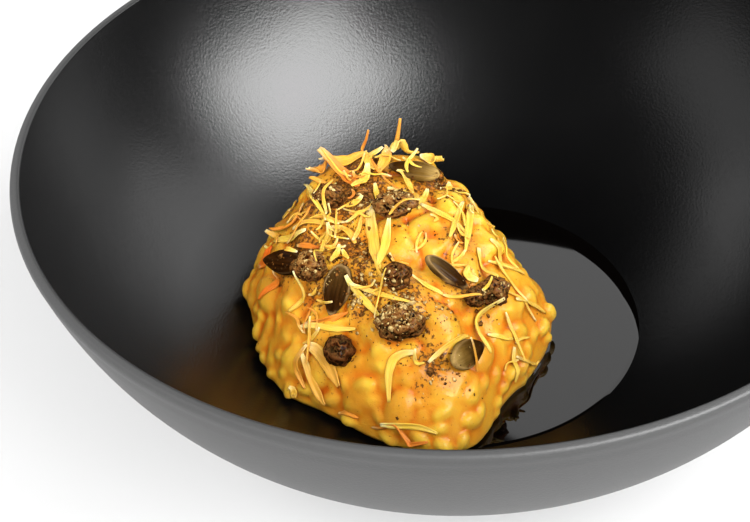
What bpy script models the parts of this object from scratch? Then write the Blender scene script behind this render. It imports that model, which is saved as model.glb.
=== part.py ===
"""Carrot risotto heaped in a wide black bowl, with seeds, fried berries and cut petals on top.

Every size below is in millimetres and becomes metres when a mesh is finished.  The origin
is the middle of the foot's underside, +Z is up, and -Y is the side the heap is seen from.
"""
import math
import random

import bmesh
import bpy
from mathutils import Matrix, Vector, noise
from mathutils.bvhtree import BVHTree

MM = 0.001
GAP = 0.3                       # clear space between pieces that touch
HALVINGS = 40                   # rounds of halving when a place on a curve is searched

# ---------------------------------------------------------------- bowl
RIM_HEIGHT = 84.0
BOWL_STEPS = 48                 # flats round every turned piece
INSIDE_CURVE = ((0.0, 9.2), (62.0, 9.2), (98.0, 39.5), (112.2, 82.9))   # radius, height
INSIDE_POINTS = 10
FLOOR_THICKNESS = 5.5
RIM_THICKNESS = 3.0
WALL_BULGE = 1.1                # how much thicker the wall is halfway up
LIP_POINTS = 3
FOOT_OUTER_RADIUS = 43.0
FOOT_INNER_RADIUS = 38.0
FOOT_BEVEL = 0.8
FOOT_TAPER = 0.4                # the foot is this much wider where it meets the bowl
FOOT_MARGIN = 2.0               # the wall's own points keep this far from the foot

# ---------------------------------------------------------------- sauce
SAUCE_LEVEL = 17.3
SAUCE_POINTS = 5
SAUCE_EDGE_STEP = 0.0005        # along the wall's curve, which runs from 0 to 1
SAUCE_CLEAR = 0.84              # between the sauce and the core of the heap

# ---------------------------------------------------------------- heap of risotto
PEAK = Vector((-19.0, 16.0))    # where the heap is highest, seen from above
PEAK_HEIGHT = 41.0              # above the sauce
# distance from the peak to the heap's edge, every 15 degrees from +X towards +Y
EDGE_RADII = (33.5, 30.8, 28, 27.5, 27, 26, 26, 27, 29, 32, 34.5, 35.2,
              39, 42.5, 45.8, 50, 57.8, 58.8, 67.5, 72.8, 59.8, 55, 50.5, 40)
FLANK_POWER = 3.0               # how long the top stays level
SHOULDER_POWER = 1.2            # how steep the edge is
EDGE_THICKNESS = 2.0
CORE_INSET = 1.2                # what the grains add all round
CORE_SPOKES = 48
SLOPE_REACH = 1.5               # how far apart points are that give the heap's slope
CORE_RINGS = (1.0, 0.965, 0.92, 0.86, 0.78, 0.68, 0.56, 0.42, 0.27, 0.13)
BASE_RINGS = (0.8, 0.55, 0.28)

GRAIN_COUNT = 230
GRAIN_LONGEST = (8.0, 3.6, 3.2)     # length, width, thickness
GRAIN_SHORTEST = (5.6, 2.8, 2.6)
GRAIN_SPACING = 4.3
GRAIN_SEED = 12
GRAIN_TRIES = 30                # places tried for each grain
GRAIN_RAISE = 0.1               # of a grain's middle over the core
GRAIN_OVER_FLOOR = 1.0
GRAIN_FROM_POOL = 2.0           # within this of the pool a grain stays over the sauce
RISOTTO_TRIANGLES = 6900        # what is left once the union's slivers are merged

# ---------------------------------------------------------------- toppings
SEED_LENGTH, SEED_THICKNESS = 14.4, 3.0
SEED_TAPER = (0.30, 0.18)       # narrower towards the tip, and towards both ends
# pumpkin seeds: x, y, heading of the tip in degrees, tilt in degrees, width
SEEDS = (
    (-12, 15.5, 170, 0, 7.4),
    (-4, -20, -17, 0, 5.2),
    (-32, -21, -110, 0, 7.6),
    (1, -36.5, 28, 0, 7.6),
    (-45, -7.5, 165, 18, 7.0),
)
# fried berries: x, y, width along x, depth along y, height
BERRIES = (
    (-16.5, -1, 12.0, 8.5, 7.5),
    (-34, 5.5, 9.0, 7.5, 6.5),
    (-37, -15.5, 9.8, 8.5, 8.0),
    (-15.5, -22.5, 8.5, 8.0, 7.5),
    (-30, -32.5, 9.0, 8.5, 8.0),
    (-15, -33, 13.0, 9.5, 9.0),
    (7.5, -17.5, 9.5, 8.5, 7.5),
    (1.5, -23, 5.5, 6.0, 5.5),
    (-31, 39, 9.0, 8.0, 7.0),
)
BERRY_LUMPS = 0.16              # depth of the wrinkles against the radius
BERRY_LUMP_SCALE = 1.7
BERRY_FLAT = -0.6               # a berry is flat under this share of its height
TOPPING_STEP = 0.15             # a seed or berry is raised by this until it is clear

PETAL_THICKNESS = 0.5
PETAL_REST = 0.45               # height of a petal's underside over the heap
PETAL_SECTIONS = 6
PETAL_STEP = 0.2                # a section is raised by this until it is clear
PETAL_TRIES = 60
PETAL_WHOLE_STEP = 0.1          # and then the whole petal by this
PETAL_STEEPEST = 1.6            # most that a section may lie above or below the next
PETAL_UPRIGHT = 6.0             # a lift of this height stands straight up
# petals: x and y of the base, x and y of the tip, width, sideways bow, lift at base, lift at tip
PETALS = (
    (-23.5, 1, -20.5, -19.5, 3.6, -0.5, 0.3, 0),
    (-18, -5.5, -21, -18.5, 2.4, 0.5, 0.3, 0),
    (-36.5, 20, -24.5, 21.5, 3.2, 1.5, 5, 1),
    (-39.5, 18, -33, 22, 3, 1, 4, 0.5),
    (-35, 20, -27, 8.5, 3.6, 1, 3.5, 0.5),
    (-24.5, 17, -28.5, 8.5, 2.4, 1, 2, 0.5),
    (-20.5, 23.5, -22.5, 15, 2.4, -3, 3, 1),
    (-19.5, 24.5, -21.5, 14.5, 3, 0.5, 2, 0.5),
    (-20, 24, -15.5, 26, 1.4, 0.5, 0.5, 13.5),
    (-18.5, 24.5, -15.5, 25.5, 2.4, 0.5, 0.5, 5.5),
    (-25, 23, -24.5, 26, 1.3, 1.5, 1.5, 9.5),
    (-18, 21.5, -11.5, 22.5, 2.6, 1.5, 1, 1.5),
    (-11, 22.5, -5.5, 22.5, 3.4, 1, 0.5, 3.5),
    (-2, 19, 0, 14, 2.6, 0, 2, 0.3),
    (-34, 15, -39.5, 17.5, 1.9, 0, 0.3, 1.5),
    (-41.5, 19, -34, -2.5, 1.4, -0.5, 0.8, 0.5),
    (-19, 8.5, -10.5, 3, 2.2, 3, 0.3, 0.3),
    (-8, 10.5, -10.5, 1, 1.7, 0, 0.8, 0.3),
    (-10, 2.5, 3, -5, 1.4, 0.5, 0.4, 0.2),
    (1, 6, -3, -8.5, 1.7, 0.5, 0.3, 0.5),
    (-44.5, 2.5, -34.5, -2.5, 1.7, 0.5, 0.5, 0.8),
    (-34.5, -3, -27.5, -9.5, 1.9, 1.5, 0.8, 0.3),
    (-40, -2, -50.5, 6, 1.9, 1, 0.6, 0.6),
    (-42, 10, -50.5, 9, 1.4, 4, 0.3, 2.5),
    (-51.5, 10, -49, 3, 1.9, 0.5, 2.5, 0.3),
    (-30, -10.5, -36.5, -9.5, 1.8, 0, 1, 0.5),
    (-47, -8, -52.5, -9, 1.6, 0, 0.5, 0.3),
    (-39, -17, -44.5, -20.5, 1.4, 1.5, 2, 0.2),
    (-28.5, -19, -20.5, -30, 2.1, -0.5, 0.5, 0.4),
    (-40, -25.5, -28.5, -26.5, 1.9, 0, 0.3, 0.4),
    (-41.5, -25.5, -26.5, -30.5, 1.7, 0.5, 0.5, 0.3),
    (3.5, 8, 1.5, -10, 1.9, 0.5, 0.3, 0.2),
    (5.5, -7, 7.5, -15, 2, -0.5, 0.2, 0.2),
    (7.5, -19.5, 5.5, -32, 1.8, -2.5, 0.5, 0.2),
    (-8, -41, 2, -31.5, 1.7, 0, 0.8, 0.3),
    (-11, -39, -17.5, -45.5, 2.2, -4, 1, 0.2),
    (-39.5, -29, -30, -38, 3.6, 1, 0.3, 0.4),
    (-41, -30, -34, -38.5, 2, -1, 0.5, 0.4),
    (-19.5, -48, -6, -52, 1.7, 0, 0.3, 0.2),
    (-40, 30, -34, 38, 2.4, 1, 0.5, 0.5),
    (-20, 36, -12, 32, 2.6, 1, 0.5, 0),
    (-6, 32, 2, 26, 1.8, 1, 0.5, 0.5),
    (2, 16, 8, 8, 1.8, 1, 0, 0.5),
)

# colour, roughness
BLACK_GLAZE = ((0.018, 0.018, 0.019, 1.0), 0.45)
DARK_JUS = ((0.012, 0.008, 0.005, 1.0), 0.06)
CARROT_CREAM = ((0.90, 0.42, 0.04, 1.0), 0.30)
SEED_SKIN = ((0.055, 0.050, 0.022, 1.0), 0.35)
BERRY_SKIN = ((0.060, 0.028, 0.012, 1.0), 0.55)
PETAL_YELLOW = ((0.95, 0.50, 0.03, 1.0), 0.45)


def clear_scene():
    for thing in list(bpy.data.objects):
        bpy.data.objects.remove(thing, do_unlink=True)


def make_material(name, finish):
    colour, roughness = finish
    material = bpy.data.materials.new(name)
    material.use_nodes = True
    shader = material.node_tree.nodes["Principled BSDF"]
    shader.inputs["Base Color"].default_value = colour
    shader.inputs["Roughness"].default_value = roughness
    shader.inputs["Metallic"].default_value = 0.0
    material.diffuse_color = colour
    return material


def face_outwards(bm):
    bmesh.ops.recalc_face_normals(bm, faces=bm.faces)
    if bm.calc_volume(signed=True) < 0:
        bmesh.ops.reverse_faces(bm, faces=bm.faces)


def make_object(name, bm, material, smooth_angle=40.0):
    """Turn a bmesh in millimetres into an object in metres, and free the bmesh."""
    bmesh.ops.scale(bm, vec=(MM, MM, MM), verts=bm.verts)
    mesh = bpy.data.meshes.new(name)
    bm.to_mesh(mesh)
    bm.free()
    mesh.materials.append(material)
    mesh.shade_smooth()
    mesh.set_sharp_from_angle(angle=math.radians(smooth_angle))
    thing = bpy.data.objects.new(name, mesh)
    bpy.context.scene.collection.objects.link(thing)
    return thing


# ---------------------------------------------------------------- turned pieces
def inside_point(t):
    """The bowl's inner wall: a Bezier curve from the middle of the floor to the lip."""
    s = 1.0 - t
    weights = (s * s * s, 3 * s * s * t, 3 * s * t * t, t * t * t)
    radius = sum(w * p[0] for w, p in zip(weights, INSIDE_CURVE))
    height = sum(w * p[1] for w, p in zip(weights, INSIDE_CURVE))
    return Vector((radius, height))


def inside_normal(t):
    """Points into the wall, away from the food."""
    step = 0.001
    along = inside_point(min(t + step, 1.0)) - inside_point(max(t - step, 0.0))
    along.normalize()
    return Vector((along.y, -along.x))


def inside_parameter(radius):
    low, high = 0.0, 1.0
    for _ in range(HALVINGS):
        middle = (low + high) / 2
        if inside_point(middle).x < radius:
            low = middle
        else:
            high = middle
    return (low + high) / 2


def floor_height(radius):
    return inside_point(inside_parameter(radius)).y


def pool_radius():
    low, high = 0.0, INSIDE_CURVE[-1][0]
    for _ in range(HALVINGS):
        middle = (low + high) / 2
        if floor_height(middle) < SAUCE_LEVEL:
            low = middle
        else:
            high = middle
    return low


def outside_point(t):
    thickness = FLOOR_THICKNESS + (RIM_THICKNESS - FLOOR_THICKNESS) * t
    thickness += WALL_BULGE * 4.0 * t * (1.0 - t)
    return inside_point(t) + inside_normal(t) * thickness


def lifted_floor(t):
    """A point just clear of the inner wall."""
    return inside_point(t) - inside_normal(t) * GAP


def turn(profile):
    """Spin a profile of (radius, height) points round Z into a closed solid."""
    bm = bmesh.new()
    row = [bm.verts.new((p.x if p.x > 0.01 else 0.0, 0.0, p.y)) for p in profile]
    edges = [bm.edges.new(pair) for pair in zip(row, row[1:])]
    bmesh.ops.spin(bm, geom=row + edges, cent=(0, 0, 0), axis=(0, 0, 1),
                   angle=2 * math.pi, steps=BOWL_STEPS, use_merge=True)
    bmesh.ops.remove_doubles(bm, verts=bm.verts, dist=0.001)
    bmesh.ops.triangulate(bm, faces=bm.faces)
    face_outwards(bm)
    return bm


def bowl_profile():
    inner = [inside_point(i / INSIDE_POINTS) for i in range(INSIDE_POINTS + 1)]
    lip_start, lip_end = inner[-1], outside_point(1.0)
    middle = (lip_start + lip_end) / 2
    lip = []
    for i in range(1, LIP_POINTS + 1):
        turn_angle = -math.pi * i / (LIP_POINTS + 1)
        lip.append(middle + Matrix.Rotation(turn_angle, 2) @ (lip_start - middle))
    outer = [outside_point(i / INSIDE_POINTS) for i in range(INSIDE_POINTS, -1, -1)]
    wall = [p for p in outer if p.x > FOOT_OUTER_RADIUS + FOOT_MARGIN]
    underside = [p for p in outer if p.x < FOOT_INNER_RADIUS - FOOT_MARGIN]
    top_outside = outside_point(inside_parameter(FOOT_OUTER_RADIUS)).y
    top_inside = outside_point(inside_parameter(FOOT_INNER_RADIUS)).y
    foot = [
        Vector((FOOT_OUTER_RADIUS + FOOT_TAPER, top_outside)),
        Vector((FOOT_OUTER_RADIUS, FOOT_BEVEL)),
        Vector((FOOT_OUTER_RADIUS - FOOT_BEVEL, 0.0)),
        Vector((FOOT_INNER_RADIUS + FOOT_BEVEL, 0.0)),
        Vector((FOOT_INNER_RADIUS, FOOT_BEVEL)),
        Vector((FOOT_INNER_RADIUS - FOOT_TAPER, top_inside)),
    ]
    return inner + lip + [outside_point(1.0)] + wall[1:] + foot + underside


def build_bowl(material):
    return make_object("bowl", turn(bowl_profile()), material)


# ---------------------------------------------------------------- heap of risotto
def edge_radius(angle, inset=CORE_INSET):
    """Smooth curve through EDGE_RADII."""
    count = len(EDGE_RADII)
    place = (angle % (2 * math.pi)) / (2 * math.pi) * count
    i = int(place) % count
    f = place - int(place)
    a, b, c, d = (EDGE_RADII[(i + k) % count] for k in (-1, 0, 1, 2))
    curve = 0.5 * (2 * b + (c - a) * f + (2 * a - 5 * b + 4 * c - d) * f * f
                   + (3 * b - a - 3 * c + d) * f ** 3)
    return curve - inset


def edge_point(angle, share=1.0, inset=CORE_INSET):
    reach = edge_radius(angle, inset) * share
    return Vector((PEAK.x + reach * math.cos(angle), PEAK.y + reach * math.sin(angle)))


def heap_height(x, y):
    """Top of the bare core over a point of its plan."""
    away = Vector((x, y)) - PEAK
    share = away.length / edge_radius(math.atan2(away.y, away.x))
    rise = max(0.0, 1.0 - share ** FLANK_POWER) ** (1.0 / SHOULDER_POWER)
    foot = max(SAUCE_LEVEL, floor_height(math.hypot(x, y))) + EDGE_THICKNESS
    top = SAUCE_LEVEL + PEAK_HEIGHT - CORE_INSET
    return foot + (top - foot) * rise


def heap_point(x, y):
    return Vector((x, y, heap_height(x, y)))


def heap_normal(x, y):
    across = heap_point(x + SLOPE_REACH, y) - heap_point(x - SLOPE_REACH, y)
    along = heap_point(x, y + SLOPE_REACH) - heap_point(x, y - SLOPE_REACH)
    return across.cross(along).normalized()


def build_core():
    """The bare heap: rings over its top, and rings that follow the bowl under it."""
    bm = bmesh.new()
    angles = [2 * math.pi * i / CORE_SPOKES for i in range(CORE_SPOKES)]

    def ring(share, height_of):
        points = [edge_point(a, share) for a in angles]
        return [bm.verts.new((p.x, p.y, height_of(p.x, p.y))) for p in points]

    def under(x, y):
        radius = math.hypot(x, y)
        t = inside_parameter(radius)
        slope = -inside_normal(t).y
        return inside_point(t).y + GAP / slope

    rings = [ring(share, under) for share in reversed(BASE_RINGS)]
    rings.append(ring(1.0, under))
    rings += [ring(share, heap_height) for share in CORE_RINGS]
    for lower, upper in zip(rings, rings[1:]):
        for i in range(CORE_SPOKES):
            j = (i + 1) % CORE_SPOKES
            bm.faces.new((lower[i], lower[j], upper[j], upper[i]))
    for loop, height_of in ((rings[0], under), (rings[-1], heap_height)):
        middle = bm.verts.new((PEAK.x, PEAK.y, height_of(PEAK.x, PEAK.y)))
        for i in range(CORE_SPOKES):
            bm.faces.new((loop[i], loop[(i + 1) % CORE_SPOKES], middle))
    bmesh.ops.triangulate(bm, faces=bm.faces)
    face_outwards(bm)
    return bm


# ---------------------------------------------------------------- keeping pieces apart
class Neighbours:
    """The surfaces of the pieces placed so far, in millimetres."""

    def __init__(self, trees=()):
        self.trees = list(trees)

    def add(self, bm):
        self.trees.append(BVHTree.FromBMesh(bm))

    def is_clear(self, point, distance):
        for tree in self.trees:
            if tree.find_nearest(point)[3] < distance or is_inside(tree, point):
                return False
        return True

    def all_clear(self, bm, distance):
        probe = BVHTree.FromBMesh(bm)
        if any(tree.overlap(probe) for tree in self.trees):
            return False
        points = [v.co for v in bm.verts]
        points += [e.verts[0].co.lerp(e.verts[1].co, 0.5) for e in bm.edges]
        near = [tree for tree in self.trees
                if any(tree.find_nearest(p, distance)[0] for p in points)]
        return not near


def is_inside(tree, point):
    """Count the walls above a point: an odd number means that it is inside."""
    up = Vector((0.13, 0.07, 1.0)).normalized()
    start, walls = point.copy(), 0
    while walls < 9:
        spot = tree.ray_cast(start, up)[0]
        if spot is None:
            break
        start = spot + up * 0.001
        walls += 1
    return walls % 2 == 1


def frame_on_heap(x, y, heading):
    """Axes of something that lies on the heap: its length, its width and straight out."""
    out = heap_normal(x, y)
    facing = Vector((math.cos(heading), math.sin(heading), 0.0))
    length = (facing - out * facing.dot(out)).normalized()
    return length, out.cross(length), out


def lay_on_heap(bm, x, y, heading, neighbours):
    """Move a shape modelled round its own origin onto the heap, just clear of it."""
    length, width, out = frame_on_heap(x, y, heading)
    turned = Matrix((length, width, out)).transposed()
    bmesh.ops.transform(bm, matrix=turned.to_4x4(), verts=bm.verts)
    lowest = min(v.co.dot(out) for v in bm.verts)
    place = heap_point(x, y) - out * (lowest - GAP)
    bmesh.ops.translate(bm, vec=place, verts=bm.verts)
    while not neighbours.all_clear(bm, GAP):
        bmesh.ops.translate(bm, vec=out * TOPPING_STEP, verts=bm.verts)
    neighbours.add(bm)


# ---------------------------------------------------------------- seeds and berries
def shape_seed(width):
    bm = bmesh.new()
    bmesh.ops.create_uvsphere(bm, u_segments=10, v_segments=6, radius=1.0,
                              matrix=Matrix.Rotation(math.pi / 2, 4, "Y"))
    to_tip, to_ends = SEED_TAPER
    for v in bm.verts:
        taper = 1.0 - to_tip * v.co.x - to_ends * v.co.x ** 2
        v.co = Vector((v.co.x * SEED_LENGTH / 2, v.co.y * width / 2 * taper,
                       v.co.z * SEED_THICKNESS / 2 * taper))
    bmesh.ops.triangulate(bm, faces=bm.faces)
    return bm


def shape_berry(width, depth, height, number):
    bm = bmesh.new()
    bmesh.ops.create_uvsphere(bm, u_segments=9, v_segments=7, radius=1.0)
    half = Vector((width / 2, depth / 2, height / 2))
    elsewhere = Vector((number * 7.3, 0, 0))
    for v in bm.verts:
        lump = 1.0 + BERRY_LUMPS * noise.noise(v.co * BERRY_LUMP_SCALE + elsewhere)
        z = max(v.co.z, BERRY_FLAT)
        v.co = Vector((v.co.x * half.x, v.co.y * half.y, z * half.z)) * lump
    bmesh.ops.triangulate(bm, faces=bm.faces)
    return bm


def build_seeds(material, neighbours):
    for number, (x, y, heading, tilt, width) in enumerate(SEEDS, 1):
        bm = shape_seed(width)
        bmesh.ops.rotate(bm, cent=(0, 0, 0), verts=bm.verts,
                         matrix=Matrix.Rotation(math.radians(-tilt), 3, "Y"))
        lay_on_heap(bm, x, y, math.radians(heading), neighbours)
        make_object("pumpkin_seed_%d" % number, bm, material)


def build_berries(material, neighbours):
    for number, (x, y, width, depth, height) in enumerate(BERRIES, 1):
        bm = shape_berry(width, depth, height, number)
        lay_on_heap(bm, x, y, 0.0, neighbours)
        make_object("fried_berry_%d" % number, bm, material)


# ---------------------------------------------------------------- petals
def petal_width(share, width):
    """Blunt at the base, widest past the middle, pointed at the tip."""
    swell = math.sin(math.pi * min(1.0, 0.12 + 0.84 * share)) ** 0.7
    return max(0.5, width * swell)


def petal_path(petal, heights):
    x0, y0, x1, y1, _, bow, base_lift, tip_lift = petal
    start, end = Vector((x0, y0)), Vector((x1, y1))
    side = Vector((y0 - y1, x1 - x0)).normalized()
    path = []
    for i in range(PETAL_SECTIONS):
        share = i / (PETAL_SECTIONS - 1)
        plan = start.lerp(end, share) + side * bow * math.sin(math.pi * share)
        lift = base_lift * (1 - share) ** 3 + tip_lift * share ** 3
        out = heap_normal(plan.x, plan.y)
        up = out.lerp(Vector((0, 0, 1)), min(1.0, lift / PETAL_UPRIGHT)).normalized()
        path.append((heap_point(plan.x, plan.y) + out * heights[i] + up * lift, out))
    return path


def shape_petal(petal, heights):
    """A thin strip along the path, both faces split into triangles alike."""
    bm = bmesh.new()
    path = petal_path(petal, heights)
    rows = []
    for i, (point, out) in enumerate(path):
        before, after = path[max(i - 1, 0)][0], path[min(i + 1, len(path) - 1)][0]
        along = (after - before).normalized()
        side = out.cross(along)
        if side.length < 0.2:
            side = Vector((1, 0, 0)).cross(along)
        side.normalize()
        face = along.cross(side)
        half = side * petal_width(i / (len(path) - 1), petal[4]) / 2
        corners = (point - half, point + half,
                   point + half + face * PETAL_THICKNESS, point - half + face * PETAL_THICKNESS)
        rows.append([bm.verts.new(c) for c in corners])
    for a, b in zip(rows, rows[1:]):
        bm.faces.new((a[0], a[1], b[1]))
        bm.faces.new((a[0], b[1], b[0]))
        bm.faces.new((a[3], b[2], a[2]))
        bm.faces.new((a[3], b[3], b[2]))
        bm.faces.new((a[1], a[2], b[2]))
        bm.faces.new((a[1], b[2], b[1]))
        bm.faces.new((a[0], b[3], a[3]))
        bm.faces.new((a[0], b[0], b[3]))
    for row in (rows[0], rows[-1]):
        bm.faces.new((row[0], row[1], row[2]))
        bm.faces.new((row[0], row[2], row[3]))
    face_outwards(bm)
    return bm


def settle_petal(petal, neighbours):
    """Raise each part of a petal only as far as what lies under it asks."""
    heights = [PETAL_REST] * PETAL_SECTIONS
    half = petal[4] / 2 + GAP
    for i in range(PETAL_SECTIONS):
        for _ in range(PETAL_TRIES):
            point, out = petal_path(petal, heights)[i]
            heading = Vector((petal[3] - petal[1], petal[0] - petal[2], 0.0)).normalized()
            probes = [point + out * up + heading * half * k
                      for k in (-1, 0, 1) for up in (0.0, PETAL_THICKNESS)]
            if all(neighbours.is_clear(p, GAP) for p in probes):
                break
            heights[i] += PETAL_STEP
    for i in range(1, PETAL_SECTIONS):
        heights[i] = max(heights[i], heights[i - 1] - PETAL_STEEPEST)
    for i in range(PETAL_SECTIONS - 2, -1, -1):
        heights[i] = max(heights[i], heights[i + 1] - PETAL_STEEPEST)
    bm = shape_petal(petal, heights)
    while not neighbours.all_clear(bm, GAP * 0.9):
        bm.free()
        heights = [h + PETAL_WHOLE_STEP for h in heights]
        bm = shape_petal(petal, heights)
    neighbours.add(bm)
    return bm


def build_petals(material, neighbours):
    for number, petal in enumerate(PETALS, 1):
        make_object("petal_%02d" % number, settle_petal(petal, neighbours), material)


# ---------------------------------------------------------------- grains
def shape_grain(size):
    bm = bmesh.new()
    bmesh.ops.create_uvsphere(bm, u_segments=5, v_segments=4, radius=0.5,
                              matrix=Matrix.Rotation(math.pi / 2, 4, "Y"))
    bmesh.ops.scale(bm, vec=size, verts=bm.verts)
    bmesh.ops.triangulate(bm, faces=bm.faces)
    return bm


def grain_is_free(bm, toppings):
    for v in bm.verts:
        radius = math.hypot(v.co.x, v.co.y)
        lowest = floor_height(radius) + GRAIN_OVER_FLOOR
        if radius < pool_edge + GRAIN_FROM_POOL:
            lowest = max(lowest, SAUCE_LEVEL + 2 * GAP)
        if v.co.z < lowest:
            return False
    return toppings.all_clear(bm, GAP)


def place_grains(toppings):
    """Largest first, each at least GRAIN_SPACING from the others, over the whole heap."""
    draw = random.Random(GRAIN_SEED)
    largest, smallest = Vector(GRAIN_LONGEST), Vector(GRAIN_SHORTEST)
    placed = []
    for _ in range(GRAIN_COUNT * GRAIN_TRIES):
        if len(placed) == GRAIN_COUNT:
            break
        angle = draw.uniform(0, 2 * math.pi)
        share = 0.99 * draw.random() ** 0.4
        heading = draw.uniform(0, math.pi)
        plan = edge_point(angle, share)
        centre = heap_point(plan.x, plan.y)
        if any((centre - other).length < GRAIN_SPACING for _, other in placed):
            continue
        size = largest.lerp(smallest, len(placed) / GRAIN_COUNT)
        bm = shape_grain(size)
        length, width, out = frame_on_heap(plan.x, plan.y, heading)
        turned = Matrix((length, width, out)).transposed().to_4x4()
        turned.translation = centre + out * GRAIN_RAISE
        bmesh.ops.transform(bm, matrix=turned, verts=bm.verts)
        if grain_is_free(bm, toppings):
            placed.append((bm, centre))
        else:
            bm.free()
    return placed


def largest_island(bm):
    """Keep the outer skin: scraps and the walls of closed hollows go."""
    bm.verts.ensure_lookup_table()
    seen = set()
    islands = []
    for start in bm.verts:
        if start in seen:
            continue
        seen.add(start)
        stack, island = [start], []
        while stack:
            vertex = stack.pop()
            island.append(vertex)
            for edge in vertex.link_edges:
                other = edge.other_vert(vertex)
                if other not in seen:
                    seen.add(other)
                    stack.append(other)
        islands.append(island)
    islands.sort(key=len)
    for island in islands[:-1]:
        bmesh.ops.delete(bm, geom=island, context="VERTS")


def boolean(thing, operation, collection):
    """Apply one Boolean with all of a collection's objects, then remove them."""
    cut = thing.modifiers.new(operation.lower(), "BOOLEAN")
    cut.operation = operation
    cut.operand_type = "COLLECTION"
    cut.collection = collection
    cut.solver = "EXACT"
    evaluated = thing.evaluated_get(bpy.context.evaluated_depsgraph_get())
    bm = bmesh.new()
    bm.from_mesh(evaluated.to_mesh())
    evaluated.to_mesh_clear()
    thing.modifiers.remove(cut)
    bmesh.ops.triangulate(bm, faces=bm.faces)
    largest_island(bm)
    face_outwards(bm)
    bm.to_mesh(thing.data)
    bm.free()
    for other in list(collection.objects):
        bpy.data.objects.remove(other, do_unlink=True)
    bpy.data.collections.remove(collection)


def new_collection(name):
    collection = bpy.data.collections.new(name)
    bpy.context.scene.collection.children.link(collection)
    return collection


def move_to(collection, thing):
    bpy.context.scene.collection.objects.unlink(thing)
    collection.objects.link(thing)


def build_risotto(core, material, toppings):
    risotto = make_object("risotto", core, material)
    grains = new_collection("grains")
    for grain, _ in place_grains(toppings):
        move_to(grains, make_object("grain", grain, material))
    boolean(risotto, "UNION", grains)
    lighten = risotto.modifiers.new("lighten", "DECIMATE")
    lighten.ratio = RISOTTO_TRIANGLES / len(risotto.data.polygons)
    lighten.use_collapse_triangulate = True


# ---------------------------------------------------------------- sauce
def build_sauce(material):
    """A shallow pool on the bowl's floor, cut round the heap."""
    reach = inside_parameter(pool_edge)
    while lifted_floor(reach).y > SAUCE_LEVEL:
        reach -= SAUCE_EDGE_STEP
    profile = [lifted_floor(reach * i / SAUCE_POINTS) for i in range(SAUCE_POINTS + 1)]
    profile[-1].y = SAUCE_LEVEL
    profile.append(Vector((0.0, SAUCE_LEVEL)))
    sauce = make_object("sauce", turn(profile), material)

    post = bmesh.new()
    angles = [2 * math.pi * i / (2 * CORE_SPOKES) for i in range(2 * CORE_SPOKES)]
    foot = [post.verts.new((*edge_point(a, inset=SAUCE_CLEAR), 0.0)) for a in angles]
    post.faces.new(foot)
    raised = bmesh.ops.extrude_face_region(post, geom=post.faces[:])
    top = [g for g in raised["geom"] if isinstance(g, bmesh.types.BMVert)]
    bmesh.ops.translate(post, vec=(0, 0, RIM_HEIGHT), verts=top)
    bmesh.ops.triangulate(post, faces=post.faces)
    face_outwards(post)
    cutters = new_collection("cutters")
    move_to(cutters, make_object("heap_post", post, material))
    boolean(sauce, "DIFFERENCE", cutters)


clear_scene()
pool_edge = pool_radius()
core = build_core()
neighbours = Neighbours()
neighbours.add(core)
build_bowl(make_material("black_glaze", BLACK_GLAZE))
build_sauce(make_material("dark_jus", DARK_JUS))
build_seeds(make_material("seed_skin", SEED_SKIN), neighbours)
build_berries(make_material("berry_skin", BERRY_SKIN), neighbours)
build_petals(make_material("petal_yellow", PETAL_YELLOW), neighbours)
toppings = Neighbours(neighbours.trees[1:])
build_risotto(core, make_material("carrot_cream", CARROT_CREAM), toppings)
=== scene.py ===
# %% [markdown]
# # Carrot risotto in a wide black bowl
#
# A heap of creamy carrot risotto stands in a shallow dark sauce, in a deep bowl with a matt
# black glaze. Pumpkin seeds, fried berries, cut flower petals and pepper lie on the heap.
# Each cell below makes one of these over the plain solids of the CAD model. All shapes are
# modelled in millimetres and become metres when a piece is finished.

import random
from math import acos, atan2, copysign, cos, degrees, exp, hypot, pi, radians, sin

import bmesh
import bpy
import numpy as np
from mathutils import Matrix, Vector, noise
from mathutils.bvhtree import BVHTree


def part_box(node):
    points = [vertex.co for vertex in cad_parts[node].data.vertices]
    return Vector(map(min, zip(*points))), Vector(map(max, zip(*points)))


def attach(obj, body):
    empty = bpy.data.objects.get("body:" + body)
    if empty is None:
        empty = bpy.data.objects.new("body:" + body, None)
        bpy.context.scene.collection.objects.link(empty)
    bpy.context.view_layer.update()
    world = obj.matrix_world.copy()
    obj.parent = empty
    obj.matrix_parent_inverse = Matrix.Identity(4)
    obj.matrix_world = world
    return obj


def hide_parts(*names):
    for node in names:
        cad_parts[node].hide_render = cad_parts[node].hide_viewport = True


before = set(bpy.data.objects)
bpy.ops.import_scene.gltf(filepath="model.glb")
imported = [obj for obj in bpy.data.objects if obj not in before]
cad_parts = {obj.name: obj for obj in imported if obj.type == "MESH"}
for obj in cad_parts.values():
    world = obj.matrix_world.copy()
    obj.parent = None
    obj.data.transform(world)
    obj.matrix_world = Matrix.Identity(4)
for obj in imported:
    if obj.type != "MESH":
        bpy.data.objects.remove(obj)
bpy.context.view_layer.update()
MM = 0.001
TURN = 2 * pi
print("CAD nodes:", len(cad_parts))

# %% [markdown]
# ## Finishing a piece
#
# Every piece ends the same way: its bmesh is scaled to metres, becomes an object at the
# origin with its material, rides on the one body, and hides the CAD nodes it stands for.
# One helper does this, so that no piece forgets a step.

# %% A helper that finishes a piece
def mesh_from(bm, name):
    mesh = bpy.data.meshes.new(name)
    bm.to_mesh(mesh)
    bm.free()
    return mesh


def put_in_scene(name, data):
    thing = bpy.data.objects.new(name, data)
    bpy.context.scene.collection.objects.link(thing)
    return thing


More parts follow.
